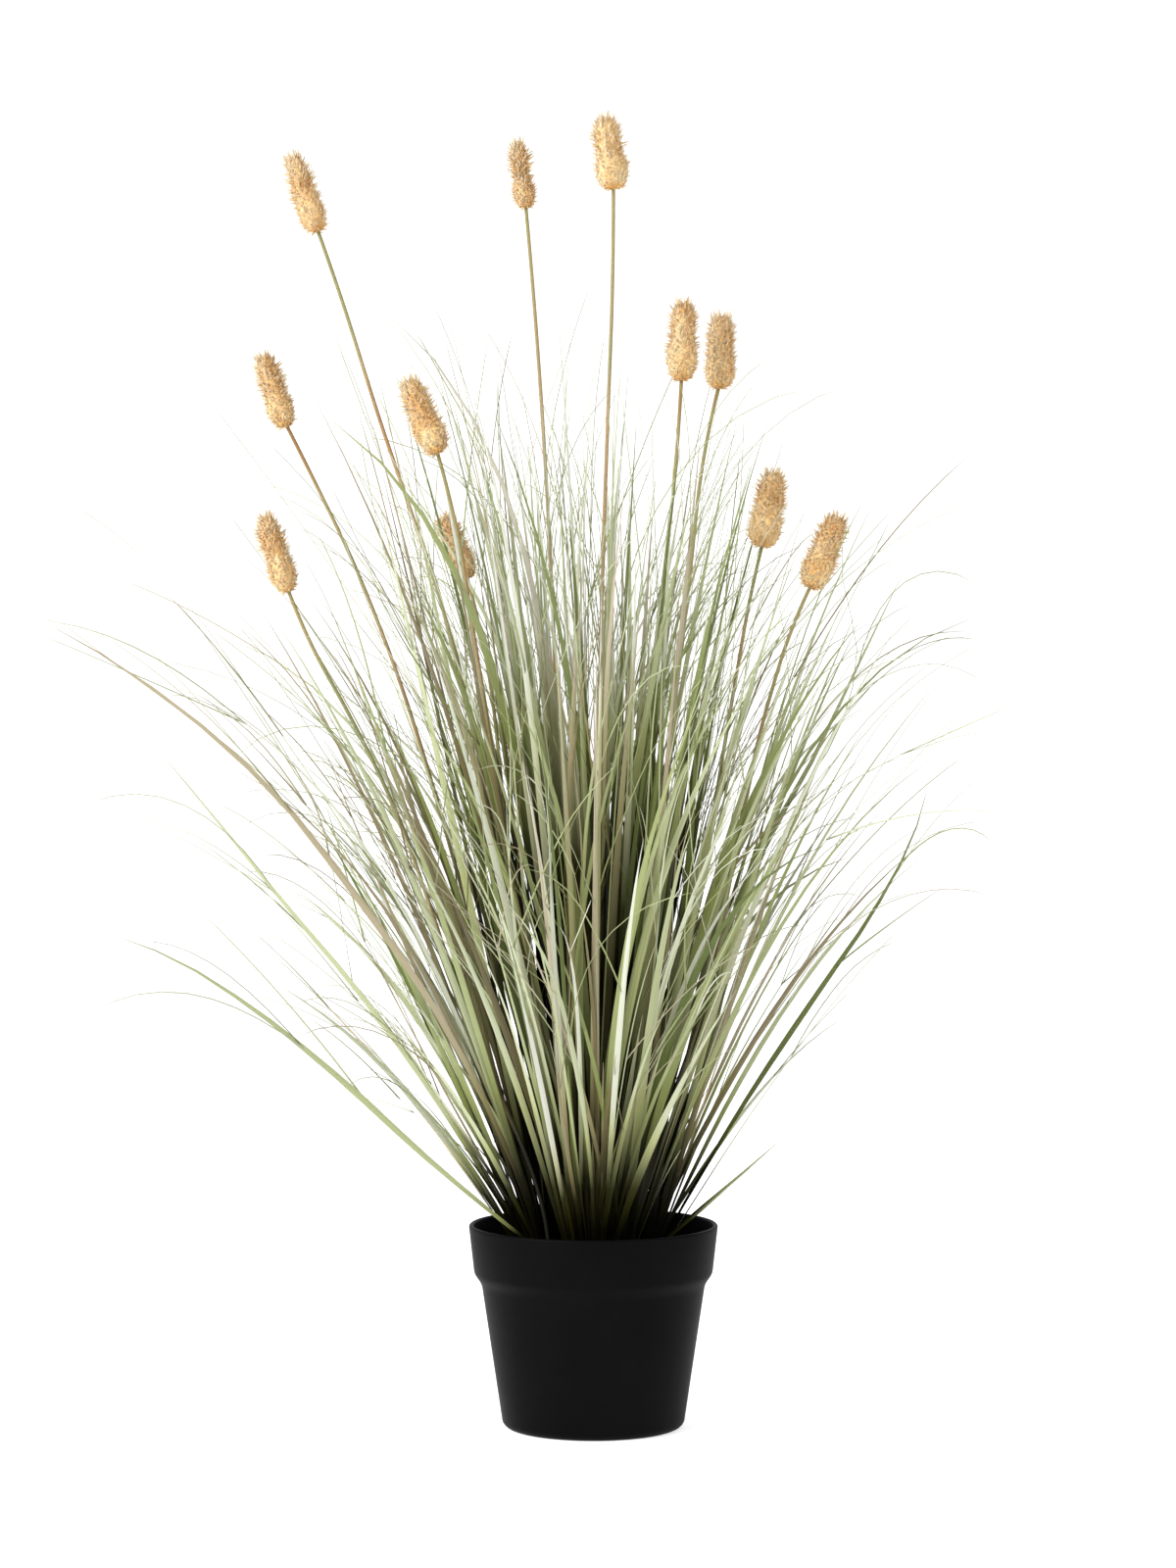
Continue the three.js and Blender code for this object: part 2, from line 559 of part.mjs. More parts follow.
function buildPlant() {
  const plant = new THREE.Group();
  const tufts = makeTufts(crownSites());
  const bladeRandom = seededRandom(11);
  const strands = [
    ...FLOWERS.flatMap(flowerStrands),
    ...REACHING_BLADES.flatMap((reach) => reachingStrands(reach, tufts)),
    ...tufts.flatMap((tuft) => tuftStrands(tuft, bladeRandom)),
  ];
  combClear(strands);
  plant.add(buildPot(), buildSoil(tufts.map((tuft) => tuft.site)));
  const headRandom = seededRandom(7);
  FLOWERS.forEach((flower, index) => {
    const number = String(index + 1).padStart(2, '0');
    plant.add(buildStem(flower, `stem_${number}`), buildHead(flower, `head_${number}`, headRandom));
  });
  plant.add(...tufts.map((tuft) => buildTuft(tuft, strands)));
  return plant;
}

export default buildPlant();
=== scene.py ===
"""Bunny tail grass in its black pot: fine blades, seed heads, stems, soil and pot, placed by the frame."""
import math
import random

import bpy
import numpy as np
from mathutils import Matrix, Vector


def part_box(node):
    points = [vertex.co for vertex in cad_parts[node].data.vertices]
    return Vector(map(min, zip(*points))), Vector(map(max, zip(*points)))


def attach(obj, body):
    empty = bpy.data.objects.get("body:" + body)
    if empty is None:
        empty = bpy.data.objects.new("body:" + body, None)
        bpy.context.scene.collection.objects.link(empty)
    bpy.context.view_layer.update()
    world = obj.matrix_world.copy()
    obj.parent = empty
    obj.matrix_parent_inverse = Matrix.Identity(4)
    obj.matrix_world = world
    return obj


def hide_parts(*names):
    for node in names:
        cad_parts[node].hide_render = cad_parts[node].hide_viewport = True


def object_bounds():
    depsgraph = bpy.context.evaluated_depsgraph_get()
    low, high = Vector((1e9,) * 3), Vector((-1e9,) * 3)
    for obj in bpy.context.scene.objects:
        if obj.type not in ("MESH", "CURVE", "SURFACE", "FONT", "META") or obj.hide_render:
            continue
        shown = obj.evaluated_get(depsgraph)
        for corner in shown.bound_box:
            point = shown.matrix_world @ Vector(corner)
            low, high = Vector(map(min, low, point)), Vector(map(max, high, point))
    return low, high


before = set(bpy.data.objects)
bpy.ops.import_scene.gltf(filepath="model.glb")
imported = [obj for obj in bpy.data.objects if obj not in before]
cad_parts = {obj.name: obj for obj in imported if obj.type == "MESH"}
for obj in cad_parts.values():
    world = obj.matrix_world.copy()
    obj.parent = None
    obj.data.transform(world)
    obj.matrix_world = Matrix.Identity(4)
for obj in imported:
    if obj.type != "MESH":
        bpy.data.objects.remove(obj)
CAD_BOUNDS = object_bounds()
MM = 0.001

# ---- Sizes and places, in millimetres ----

# The pot: radii, and heights above the ground, from its rim down to its rounded foot.
POT_RIM_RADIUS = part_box("pot")[1][0] / MM
POT_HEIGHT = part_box("pot")[1][2] / MM
POT_COLLAR_FOOT = 74.5
POT_COLLAR_FOOT_RADIUS = 57.5
POT_SHOULDER = 69.3
POT_SHOULDER_RADIUS = 53.9
POT_FOOT_RADIUS = 44.2
POT_FOOT_ROUND = 4.5
POT_SHOULDER_ROUND = 2.2
POT_COLLAR_ROUND = 1.6
POT_INSIDE_ROUND = 1.5
POT_WALL = 2.3
POT_FLOOR = 3
POT_SIDES = 144
POT_WALL_STOPS = (22, 44, 60)

# The soil: its top, its gaps to the pot's wall, the waves of its top, and the crumbs that lie on it.
SOIL_TOP = 74
SOIL_SIDES = 72
SOIL_RINGS = 14
SOIL_TOP_GAP = 1.6
SOIL_SHOULDER_GAP = 0.8
SOIL_FOOT_GAP = 0.6
SOIL_EDGE = 1.4
SOIL_WAVES = (0.31, 0.27)
SOIL_CRUMBS = 420
CRUMB_SIZE = (0.5, 1.6)
CRUMB_REACH = 49

# The crown, where the bunches stand in a spiral. No bunch stands within STEM_FREE of a stem.
CROWN_RADIUS = 27
CROWN_SITES = 39
GOLDEN_ANGLE = math.pi * (3 - math.sqrt(5))
STEM_FREE = 4.3
FOOT_TOP = 77
FOOT_HEIGHT = 15
FOOT_WIDTHS = (5.2, 5.2, 4.2)
ROOT_DEPTH = 2.5
ROOT_SPREAD = 1.2
BROWN_EVERY = 4

# The main blades of each bunch, which the solid bunch has too. Angles are in radians.
MAIN_BLADES = 4
MAIN_STEPS = 5
SPLIT_STEPS = 3
BLADE_WIDTH = (2.8, 4.2)
BLADE_LENGTH = (310, 460)
FAN_SPREAD = 5.4
LEAN = (0.14, 0.66)
BEND = (0.2, 1.3)
LEFT_LEAN = 0.14
MOST_TILT = 1.05

# The more numerous blades between them, a part of which droop.
FINE_BLADES = 10
FINE_WIDTH = (2.8, 6.5)
FINE_LENGTH = (298, 456)
FINE_LEAN = (0.1, 0.58)
FINE_POWER = (1.2, 2.8)
FINE_STRAY = 0.115
FINE_DRIFT = -0.024
FINE_TOP = 500
MOST_LEAN = 0.6
DROOPING_SHARE = 0.3
DROOP = (0.25, 0.8)
DROOP_POWER = (2.2, 3.6)
MOST_DROOP = 1.3

# The short blades at the foot of the clump.
SHORT_BLADES = 4
SHORT_WIDTH = (3.6, 5.6)
SHORT_LENGTH = (80, 170)
SHORT_LEAN = (0.12, 0.6)
SHORT_FULLNESS = 1.6

# The cross-section of a blade, and the thin threads that its end splits into.
BLADE_THICKNESS = 0.55
BLADE_FOLD = 0.3
BLADE_RINGS = 15
LEAST_BLADE = 0.4
TIP_WIDTH = 0.12
EDGE_ANGLE = math.radians(130)
THREAD_WIDTH = 0.85
LEAST_THREAD = 0.48
THREAD_RINGS = 10
THREAD_LENGTH = (0.22, 0.5)
THREAD_STRAY = 0.165
THREAD_POWER = 1.6
THREAD_DROOPS = (0.05, 0.15, 0.3, 0.5, 0.9, 1.4)
THREAD_TOP = 560
SPLIT_SHARE = (0.52, 0.82)
SPLIT_COUNTS = (1, 2, 2, 3)
REACH_MARGIN = 6
TRIES = 8
BLADE_SHORTER = 0.88
THREAD_SHORTER = 0.85

# The painted shade in the heart of the clump: its height, its radius at the foot and its growth, and where
# light gets in.
HEART_HEIGHT = 300
HEART_RADIUS = 24
HEART_GROWTH = 130
OPEN_HEIGHT = 115
OPEN_RADIUS = 40
OPEN_BLEND = 34
DARKEST = 0.1

# The stems. Each rises upright out of the soil and goes a short way into its head.
STEM_RADIUS = 1.05
STEM_FOOT = 65
STEM_RISE = 10
STEM_IN_HEAD = 3
STEM_RINGS = 60

# The seed heads: a lumpy core, short fuzz, and longer hairs drawn together into spikes. A depth is where the
# hairs start, as a share of the core's radius. HEAD_CLEAR is the room that is kept in front of a head.
HEAD_RINGS = 26
HEAD_SIDES = 24
HEAD_SHORTER = 2.6
HEAD_SLIMMER = 1.35
HEAD_WAIST = 0.06
HEAD_TONE = 0.46
HEAD_FUZZ = 4200
FUZZ_LENGTH = (0.8, 1.6)
FUZZ_WIDTH = (0.24, 0.38)
FUZZ_TAPER = (1, 0.75, 0.2)
FUZZ_DEPTH = 0.97
HEAD_SPIKES = 260
SPIKE_HAIRS = 4
SPIKE_LENGTH = (2.8, 5.2)
SPIKE_WIDTH = (0.38, 0.55)
SPIKE_TAPER = (1, 0.72, 0.2)
SPIKE_DEPTH = 0.94
HAIR_STEPS = np.linspace(0, 1, 3)[None, :, None]
HAIR_DIVISOR = 1
HEAD_CLEAR = 10

# The head's outline: shares of its widest radius, each at a share of its height.
HEAD_OUTLINE = [(0.2, 0), (0.6, 0.04), (0.86, 0.12), (0.98, 0.22), (1, 0.3), (0.93, 0.42), (0.84, 0.54),
                (0.78, 0.68), (0.74, 0.82), (0.64, 0.92), (0.42, 0.98), (0.08, 1)]

# Each flower: the tip, the base and the widest radius of its head, the foot of its stem and the stem's way.
FLOWERS = [
    dict(tip=(-143, -30, 609), base=(-130, -30, 572), radius=7.2, foot=(-13, -6),
         stem=[(-118, -28, 537), (-104, -25, 492), (-67, -18, 378), (-38, -12, 230)]),
    dict(tip=(-38, 60, 626), base=(-33, 60, 592), radius=6.4, waist=0.3, foot=(-6, 14),
         stem=[(-29, 54, 544), (-23, 44, 457), (-16, 30, 300)]),
    dict(tip=(5, 0, 631), base=(10, 0, 595), radius=9, waist=0.14, foot=(1, 1),
         stem=[(9, 0, 545), (7, 0, 489), (4, 0, 395), (2, 0, 240)]),
    dict(tip=(-160, 10, 518), base=(-148, 10, 482), radius=7.2, foot=(-17, 5),
         stem=[(-134, 9, 455), (-115, 9, 415), (-102, 8, 383), (-58, 7, 240)]),
    dict(tip=(-88, -40, 503), base=(-73, -40, 467), radius=8.2, foot=(-10, -17),
         stem=[(-64, -38, 429), (-57, -36, 385), (-33, -29, 230)]),
    dict(tip=(43, -10, 542), base=(42, -10, 503), radius=8.2, foot=(8.5, -4.5),
         stem=[(39, -10, 460), (34, -9, 413), (29, -9, 371), (19, -7, 220)]),
    dict(tip=(62, 20, 538), base=(61, 20, 501), radius=8.2, foot=(11, 8),
         stem=[(54, 19, 471), (46, 17, 404), (27, 13, 240)]),
    dict(tip=(-155, -50, 439), base=(-143, -50, 402), radius=7.2, foot=(-21, -12.5),
         stem=[(-132, -47, 376), (-116, -43, 346), (-102, -40, 318), (-60, -27, 200)]),
    dict(tip=(-75, 70, 442), base=(-62, 70, 410), radius=7.4, foot=(-15.5, 18.5), among_blades=True,
         stem=[(-54, 64, 375), (-42, 50, 280), (-25, 30, 160)]),
    dict(tip=(89, 50, 464), base=(83, 50, 425), radius=9, foot=(17, 15.5),
         stem=[(77, 47, 400), (70, 44, 361), (46, 33, 220)]),
    dict(tip=(117, -20, 440), base=(103, -20, 404), radius=8.4, foot=(19, -6),
         stem=[(92, -19, 378), (84, -18, 352), (54, -14, 210)]),
]

# Long blades that reach out of the bunch, and the split ends that leave them.
REACHING_BLADES = [
    dict(width=4.2, line=[(-33, -22, 88), (-78, -46, 211), (-115, -60, 265), (-144, -68, 303),
                          (-191, -76, 347), (-254, -84, 388)],
         ends=[[(-134, -66, 293), (-195, -62, 357), (-235, -56, 385)],
               [(-108, -58, 282), (-144, -48, 324), (-188, -44, 355)]]),
    dict(width=3.8, line=[(-34, -8, 88), (-78, -18, 164), (-115, -24, 216), (-144, -28, 251),
                          (-172, -31, 286), (-207, -36, 329)],
         ends=[[(-144, -28, 251), (-170, -18, 270), (-210, -12, 291)]]),
    dict(width=3.8, line=[(-32, -30, 86), (-78, -68, 138), (-120, -92, 180), (-162, -112, 216),
                          (-191, -122, 235), (-217, -130, 246)],
         ends=[[(-106, -86, 170), (-144, -94, 216), (-181, -100, 256)]]),
    dict(width=3.4, line=[(26, -22, 88), (60, -52, 200), (84, -72, 270), (113, -88, 310), (139, -98, 326),
                          (187, -112, 339)],
         ends=[[(100, -82, 296), (134, -84, 346), (183, -88, 380)]]),
    dict(width=3.8, line=[(34, -6, 90), (73, -14, 159), (110, -22, 216), (132, -27, 249), (153, -32, 291),
                          (158, -36, 310)],
         ends=[[(110, -22, 216), (139, -34, 244), (165, -44, 263)]]),
    dict(width=4.4, line=[(30, 8, 90), (58, 18, 190), (80, 26, 272), (106, 33, 319), (129, 38, 366),
                          (152, 44, 413)],
         ends=[[(100, 31, 308), (128, 24, 370), (120, 20, 420), (124, 18, 443)]]),
    dict(width=3.6, line=[(26, -8, 80), (50, -16, 106), (89, -30, 142)], ends=[], turn=1.25),
    dict(width=3.4, line=[(22, -14, 80), (42, -24, 100), (74, -42, 130)], ends=[], turn=1.25),
    dict(width=3.4, line=[(-20, 28, 90), (-50, 78, 190), (-84, 118, 260), (-130, 160, 300)],
         ends=[[(-66, 98, 226), (-96, 150, 290), (-112, 190, 330)]]),
    dict(width=3.4, line=[(18, 30, 90), (46, 84, 180), (80, 128, 240), (120, 170, 270)],
         ends=[[(62, 106, 212), (84, 150, 290), (96, 196, 336)]]),
    dict(width=3.2, line=[(0, 35, 88), (4, 86, 160), (-4, 130, 210), (-14, 180, 240)], ends=[]),
    dict(width=3.2, line=[(4, -35, 88), (-6, -80, 170), (-20, -120, 230), (-38, -170, 262)],
         ends=[[(-13, -100, 200), (10, -140, 250), (44, -176, 268)]]),
]

# ---- Small helpers ----


def seeded_random(seed):
    """The same repeatable stream of numbers from 0 to 1 that places the solid blades."""
    mask = 0xFFFFFFFF
    state = [seed]

    def draw():
        state[0] = (state[0] + 0x6D2B79F5) & mask
        mixed = ((state[0] ^ (state[0] >> 15)) * (1 | state[0])) & mask
        mixed = ((mixed + (((mixed ^ (mixed >> 7)) * (61 | mixed)) & mask)) & mask) ^ mixed
        return (mixed ^ (mixed >> 14)) / 4294967296
    return draw


def between(draw, limits):
    return limits[0] + (limits[1] - limits[0]) * draw()


def deselect_all():
    if bpy.context.object and bpy.context.object.mode != "OBJECT":
        bpy.ops.object.mode_set(mode="OBJECT")
    bpy.ops.object.select_all(action="DESELECT")


def extrude(by):
    bpy.ops.mesh.extrude_region_move(TRANSFORM_OT_translate={"value": by})


def close_mesh():
    """Merges doubled points, turns the faces outwards and leaves edit mode."""
    bpy.ops.mesh.select_all(action="SELECT")
    bpy.ops.mesh.remove_doubles(threshold=0.000001)
    bpy.ops.mesh.normals_make_consistent(inside=False)
    bpy.ops.object.mode_set(mode="OBJECT")


def nothing_selected(kind):
    """Leaves the faces or edges of the active mesh deselected, to be selected by their place."""
    bpy.ops.object.mode_set(mode="EDIT")
    bpy.ops.mesh.select_mode(type=kind)
    bpy.ops.mesh.select_all(action="DESELECT")
    bpy.ops.object.mode_set(mode="OBJECT")


def smooth_line(points, count):
    """Evenly spaced points on a smooth curve through the given ones."""
    points = np.asarray(points, float)
    steps = np.linalg.norm(np.diff(points, axis=0), axis=1)
    along = np.concatenate([[0], np.cumsum(steps)])
    slopes = np.gradient(points, along, axis=0, edge_order=2 if len(points) > 2 else 1)
    fine = np.linspace(0, along[-1], 8 * count)
    left = np.clip(np.searchsorted(along, fine, side="right") - 1, 0, len(points) - 2)
    right = left + 1
    span = (along[right] - along[left])[:, None]
    t = ((fine - along[left])[:, None]) / span
    curve = ((2 * t**3 - 3 * t**2 + 1) * points[left] + (t**3 - 2 * t**2 + t) * span * slopes[left]
             + (3 * t**2 - 2 * t**3) * points[right] + (t**3 - t**2) * span * slopes[right])
    length = np.concatenate([[0], np.cumsum(np.linalg.norm(np.diff(curve, axis=0), axis=1))])
    even = np.linspace(0, length[-1], count)
    return np.stack([np.interp(even, length, curve[:, axis]) for axis in range(3)], axis=1)


def arched_line(start, azimuth, lean, bend, length, steps, power=2.0, swing=0.0):
    """A line that leans away from upright, bends further over as it goes, and may swing round."""
    points = [np.asarray(start, float)]
    for step in range(steps):
        share = (step + 0.5) / steps
        tilt = lean + bend * share**power
        turn = azimuth + swing * share
        level = math.sin(tilt)
        stride = np.array([level * math.cos(turn), level * math.sin(turn), math.cos(tilt)])
        points.append(points[-1] + stride * length / steps)
    return np.array(points)


# ---- Master shapes, each modelled once ----


def master_strip(sides, rings, fold=0):
    """A strip of unit width, thickness and length, drawn out of one small face a ring at a time."""
    deselect_all()
    bpy.ops.mesh.primitive_circle_add(vertices=sides, radius=0.5, fill_type="NGON", location=(0, 0, 0))
    strip = bpy.context.object
    bpy.ops.object.mode_set(mode="EDIT")
    bpy.ops.mesh.select_all(action="SELECT")
    for _ in range(rings - 1):
        extrude((0, 0, 1 / (rings - 1)))
    close_mesh()
    for vertex in strip.data.vertices:
        vertex.co.y += fold * (1 - 2 * abs(vertex.co.x))
    return mesh_arrays(strip)


def mesh_arrays(obj):
    """The points of a master shape and its faces, as arrays, with the master then removed."""
    mesh = obj.data
    points = np.empty(len(mesh.vertices) * 3)
    mesh.vertices.foreach_get("co", points)
    loops = np.empty(len(mesh.loops), np.int32)
    mesh.loops.foreach_get("vertex_index", loops)
    sizes = np.empty(len(mesh.polygons), np.int32)
    mesh.polygons.foreach_get("loop_total", sizes)
    bpy.data.objects.remove(obj)
    bpy.data.meshes.remove(mesh)
    return points.reshape(-1, 3), loops, sizes


def joined_copies(name, material, batches, smooth=True):
    """One piece from batches of copies. A batch is (points of all copies, loops, sizes, attributes)."""
    points, loops, sizes, values = [], [], [], {}
    offset = 0
    for placed, one_loops, one_sizes, attributes in batches:
        copies, count = placed.shape[:2]
        points.append(placed.reshape(-1, 3))
        starts = offset + np.arange(copies)[:, None] * count
        loops.append((one_loops[None, :] + starts).ravel())
        sizes.append(np.tile(one_sizes, copies))
        for key, value in attributes.items():
            values.setdefault(key, []).append(np.broadcast_to(value, (copies, count)).ravel())
        offset += copies * count
    points, loops, sizes = np.concatenate(points), np.concatenate(loops), np.concatenate(sizes)
    mesh = bpy.data.meshes.new(name)
    mesh.vertices.add(len(points))
    mesh.vertices.foreach_set("co", points.ravel())
    mesh.loops.add(len(loops))
    mesh.loops.foreach_set("vertex_index", loops.astype(np.int32))
    mesh.polygons.add(len(sizes))
    mesh.polygons.foreach_set("loop_start", np.concatenate([[0], np.cumsum(sizes)[:-1]]).astype(np.int32))
    mesh.polygons.foreach_set("use_smooth", np.full(len(sizes), smooth))
    mesh.update(calc_edges=True)
    for key, value in values.items():
        layer = mesh.attributes.new(key, "FLOAT", "POINT")
        layer.data.foreach_set("value", np.concatenate(value).astype(np.float32))
    mesh.materials.append(material)
    piece = bpy.data.objects.new(name, mesh)
    bpy.context.scene.collection.objects.link(piece)
    return piece


def clump_shade(points):
    """How little the rest of the clump hides a point, from 0 in its dark heart to 1 outside or high up: the
    painted shade that darkens blades and stems.
    """
    rise = points[..., 2] - FOOT_TOP
    radius = np.hypot(points[..., 0], points[..., 1])
    height = np.clip(rise / HEART_HEIGHT, 0, 1)
    depth = np.clip((radius / (HEART_RADIUS + HEART_GROWTH * height) - 0.4) / 0.5, 0, 1)
    painted_shade = 1 - (1 - depth) * np.clip((0.97 - height) / 0.57, 0, 1) ** 0.8
    # Low down, near the soil, the painted shade is deeper, except far out from the middle of the clump.
    clear = np.maximum(rise / OPEN_HEIGHT, (radius - OPEN_RADIUS) / OPEN_BLEND)
    return painted_shade * np.clip(clear, DARKEST, 1)


def bent_copies(master, lines, widths, thicknesses, facings, twists, tones, along=(0, 1)):
    """Copies of a strip bent along lines: (copies, rings, 3) in millimetres, widths and so on per ring.

    The colours along a strip run from the first value of along at its root to the second at its tip.
    """
    shape, loops, sizes = master
    lines = np.asarray(lines, float)
    rings = lines.shape[1]
    tangents = np.gradient(lines, axis=1)
    tangents /= np.linalg.norm(tangents, axis=2, keepdims=True)
    side = np.stack([-np.sin(facings), np.cos(facings), np.zeros(len(facings))], axis=1)
    sides = np.empty_like(lines)
    for ring in range(rings):
        side = side - tangents[:, ring] * np.sum(side * tangents[:, ring], axis=1, keepdims=True)
        side /= np.linalg.norm(side, axis=1, keepdims=True)
        sides[:, ring] = side
    normals = np.cross(sides, tangents)
    turn = np.asarray(twists)[:, None, None] * np.linspace(0, 1, rings)[None, :, None]
    turned = sides * np.cos(turn) + normals * np.sin(turn)
    raised = normals * np.cos(turn) - sides * np.sin(turn)
    ring_of = np.rint(shape[:, 2] * (rings - 1)).astype(int)
    across, depth = shape[:, 0][None, :, None], shape[:, 1][None, :, None]
    placed = (lines[:, ring_of] + turned[:, ring_of] * across * np.asarray(widths)[:, ring_of, None]
              + raised[:, ring_of] * depth * np.asarray(thicknesses)[:, ring_of, None])
    attributes = {
        "tone": np.asarray(tones)[:, None],
        # The shade attribute is the clump's painted shade at each point.
        "shade": clump_shade(placed),
        "along": along[0] + (along[1] - along[0]) * shape[:, 2][None, :],
        "across": shape[:, 0][None, :] + 0.5,
    }
    return placed * MM, loops, sizes, attributes


def bent_once(master, line, widths, tone, along=(0, 1)):
    """A single copy of a strip, as thick as it is wide."""
    return bent_copies(master, [line], [widths], [widths], [0.0], [0.0], [tone], along)


# ---- Materials ----

WHITE = (255, 255, 255)
SAGE_TONES = [(0, (98, 110, 62)), (0.22, (150, 159, 109)), (0.5, (187, 192, 161)),
              (0.78, (212, 215, 203)), (0.9, (218, 218, 210)), (0.94, (180, 169, 149))]
SAGE_ROOT, SAGE_TIP = (172, 168, 130), (255, 255, 254)
MAUVE_TONES = [(0, (120, 111, 83)), (0.25, (154, 143, 118)), (0.44, (184, 175, 154)),
               (0.5, (158, 167, 122)), (1, (200, 206, 176))]
MAUVE_ROOT, MAUVE_TIP = (172, 164, 134), (255, 254, 251)


def set_inputs(node, **values):
    """Sets the inputs of a node, named with an underscore for each space."""
    for name, value in values.items():
        node.inputs[name.replace("_", " ")].default_value = value


def new_material(name, roughness, specular=0.5):
    material = bpy.data.materials.new(name)
    material.use_nodes = True
    shader = material.node_tree.nodes["Principled BSDF"]
    set_inputs(shader, Roughness=roughness, Specular_IOR_Level=specular)
    return material, material.node_tree, shader


def attribute(tree, name):
    node = tree.nodes.new("ShaderNodeAttribute")
    node.attribute_name = name
    return node.outputs["Fac"]


def place_on_piece(tree):
    return tree.nodes.new("ShaderNodeTexCoord").outputs["Object"]


def stretched_place(tree, **sources):
    """A place made of other values, each given with its scale, such as X=(across, 5.0)."""
    place = tree.nodes.new("ShaderNodeCombineXYZ")
    for axis, (source, scale) in sources.items():
        scaled = tree.nodes.new("ShaderNodeMath")
        scaled.operation = "MULTIPLY"
        scaled.inputs[1].default_value = scale
        tree.links.new(source, scaled.inputs[0])
        tree.links.new(scaled.outputs[0], place.inputs[axis])
    return place.outputs["Vector"]


def noise(tree, place, scale, detail):
    node = tree.nodes.new("ShaderNodeTexNoise")
    set_inputs(node, Scale=scale, Detail=detail)
    tree.links.new(place, node.inputs["Vector"])
    return node.outputs["Fac"]


def srgb_to_linear(value):
    return value / 12.92 if value <= 0.04045 else ((value + 0.055) / 1.055) ** 2.4


def ramp(tree, source, stops):
    """The colour that a value picks from a list of (place, sRGB colour in 0 to 255)."""
    node = tree.nodes.new("ShaderNodeValToRGB")
    elements = node.color_ramp.elements
    while len(elements) > 1:
        elements.remove(elements[-1])
    for index, (place, colour) in enumerate(stops):
        element = elements[0] if index == 0 else elements.new(place)
        element.position = place
        element.color = (*[srgb_to_linear(channel / 255) for channel in colour], 1)
    tree.links.new(source, node.inputs["Fac"])
    return node.outputs["Color"]


def tinted(tree, colour, tint, strength=1.0):
    """A colour multiplied by another, wholly or in part."""
    node = tree.nodes.new("ShaderNodeMix")
    node.data_type = "RGBA"
    node.blend_type = "MULTIPLY"
    set_inputs(node, Factor=strength)
    tree.links.new(colour, node.inputs["A"])
    tree.links.new(tint, node.inputs["B"])
    return node.outputs["Result"]


def finished(material, shader, colour, grain, strength, depth):
    """The material with its colour, and with small bumps that follow the grain, their depth in metres."""
    tree = material.node_tree
    tree.links.new(colour, shader.inputs["Base Color"])
    bump = tree.nodes.new("ShaderNodeBump")
    set_inputs(bump, Strength=strength, Distance=depth)
    tree.links.new(grain, bump.inputs["Height"])
    tree.links.new(bump.outputs["Normal"], shader.inputs["Normal"])
    return material


def with_painted_clump_shade(tree, colour):
    """The colour darkened towards olive by painted shade, where the rest of the clump hides it."""
    painted_shade = ramp(tree, attribute(tree, "shade"),
                 [(0, (19, 18, 3)), (0.38, (64, 63, 21)), (0.75, (222, 222, 190)), (1, WHITE)])
    return tinted(tree, colour, painted_shade)


def blade_material(name, tones, root, tip):
    """Grass: a tone for each blade, darker at the root and paler at the tip, with fine ribs along it, and
    painted shade where the rest of the clump hides it.
    """
    material, tree, shader = new_material(name, 0.5, 0.12)
    tone, along, across = (attribute(tree, key) for key in ("tone", "along", "across"))
    ends = ramp(tree, along, [(0, root), (0.08, root), (0.3, (250, 250, 244)), (1, tip)])
    # The clump's painted shade darkens the blade colour here.
    colour = with_painted_clump_shade(tree, tinted(tree, ramp(tree, tone, tones), ends))
    ribs = noise(tree, stretched_place(tree, X=(across, 5.0), Y=(along, 3.0), Z=(tone, 40.0)), 1.6, 3.0)
    streaks = ramp(tree, ribs, [(0.3, (220, 220, 212)), (0.7, WHITE)])
    return finished(material, shader, tinted(tree, colour, streaks, 0.8), ribs, 0.25, 0.0003)


def stem_material():
    """Flower stem: straw, with olive and rusty stretches along it and fine lengthwise grain, and painted
    shade where the clump hides it.
    """
    material, tree, shader = new_material("straw_stem", 0.6)
    tone, along = attribute(tree, "tone"), attribute(tree, "along")
    patches = noise(tree, stretched_place(tree, X=(along, 4.5), Z=(tone, 30.0)), 1.0, 2.0)
    stretches = ramp(tree, patches, [(0.32, (132, 134, 86)), (0.44, (158, 148, 106)),
                                     (0.54, (172, 150, 112)), (0.68, (162, 118, 76))])
    grain = noise(tree, place_on_piece(tree), 900.0, 2.0)
    fine = ramp(tree, grain, [(0.3, (214, 208, 196)), (0.7, WHITE)])
    neck = ramp(tree, along, [(0.75, WHITE), (1, (222, 232, 196))])
    # The clump's painted shade darkens the stem colour here.
    colour = with_painted_clump_shade(tree, tinted(tree, tinted(tree, stretches, fine, 0.7), neck))
    return finished(material, shader, colour, grain, 0.2, 0.0002)


def head_material():
    """Seed head: soft cream hairs, ochre where they meet the head, in uneven patches, with the painted light
    and painted shade that their tones carry.
    """
    material, tree, shader = new_material("cream_seed_hair", 0.9, 0.1)
    # Through its tone, a hair also carries painted light: a paler side of the head, and an ochre band of
    # painted shade down another side.
    own = ramp(tree, attribute(tree, "tone"), [(0, (220, 170, 100)), (0.25, (246, 208, 148)),
                                               (0.55, (251, 231, 195)), (1, (253, 244, 230))])
    ends = ramp(tree, attribute(tree, "along"), [(0, (255, 236, 190)), (0.5, (255, 246, 222)),
                                                 (1, (244, 239, 226))])
    place = place_on_piece(tree)
    ochre = ramp(tree, noise(tree, place, 95.0, 3.0), [(0.34, (238, 214, 178)), (0.6, WHITE)])
    colour = tinted(tree, tinted(tree, own, ends), ochre, 0.8)
    set_inputs(shader, Sheen_Weight=0.04, Subsurface_Weight=0.6, Subsurface_Radius=(1.0, 0.75, 0.5),
               Subsurface_Scale=0.003)
    return finished(material, shader, colour, noise(tree, place, 1600.0, 2.0), 0.4, 0.0004)


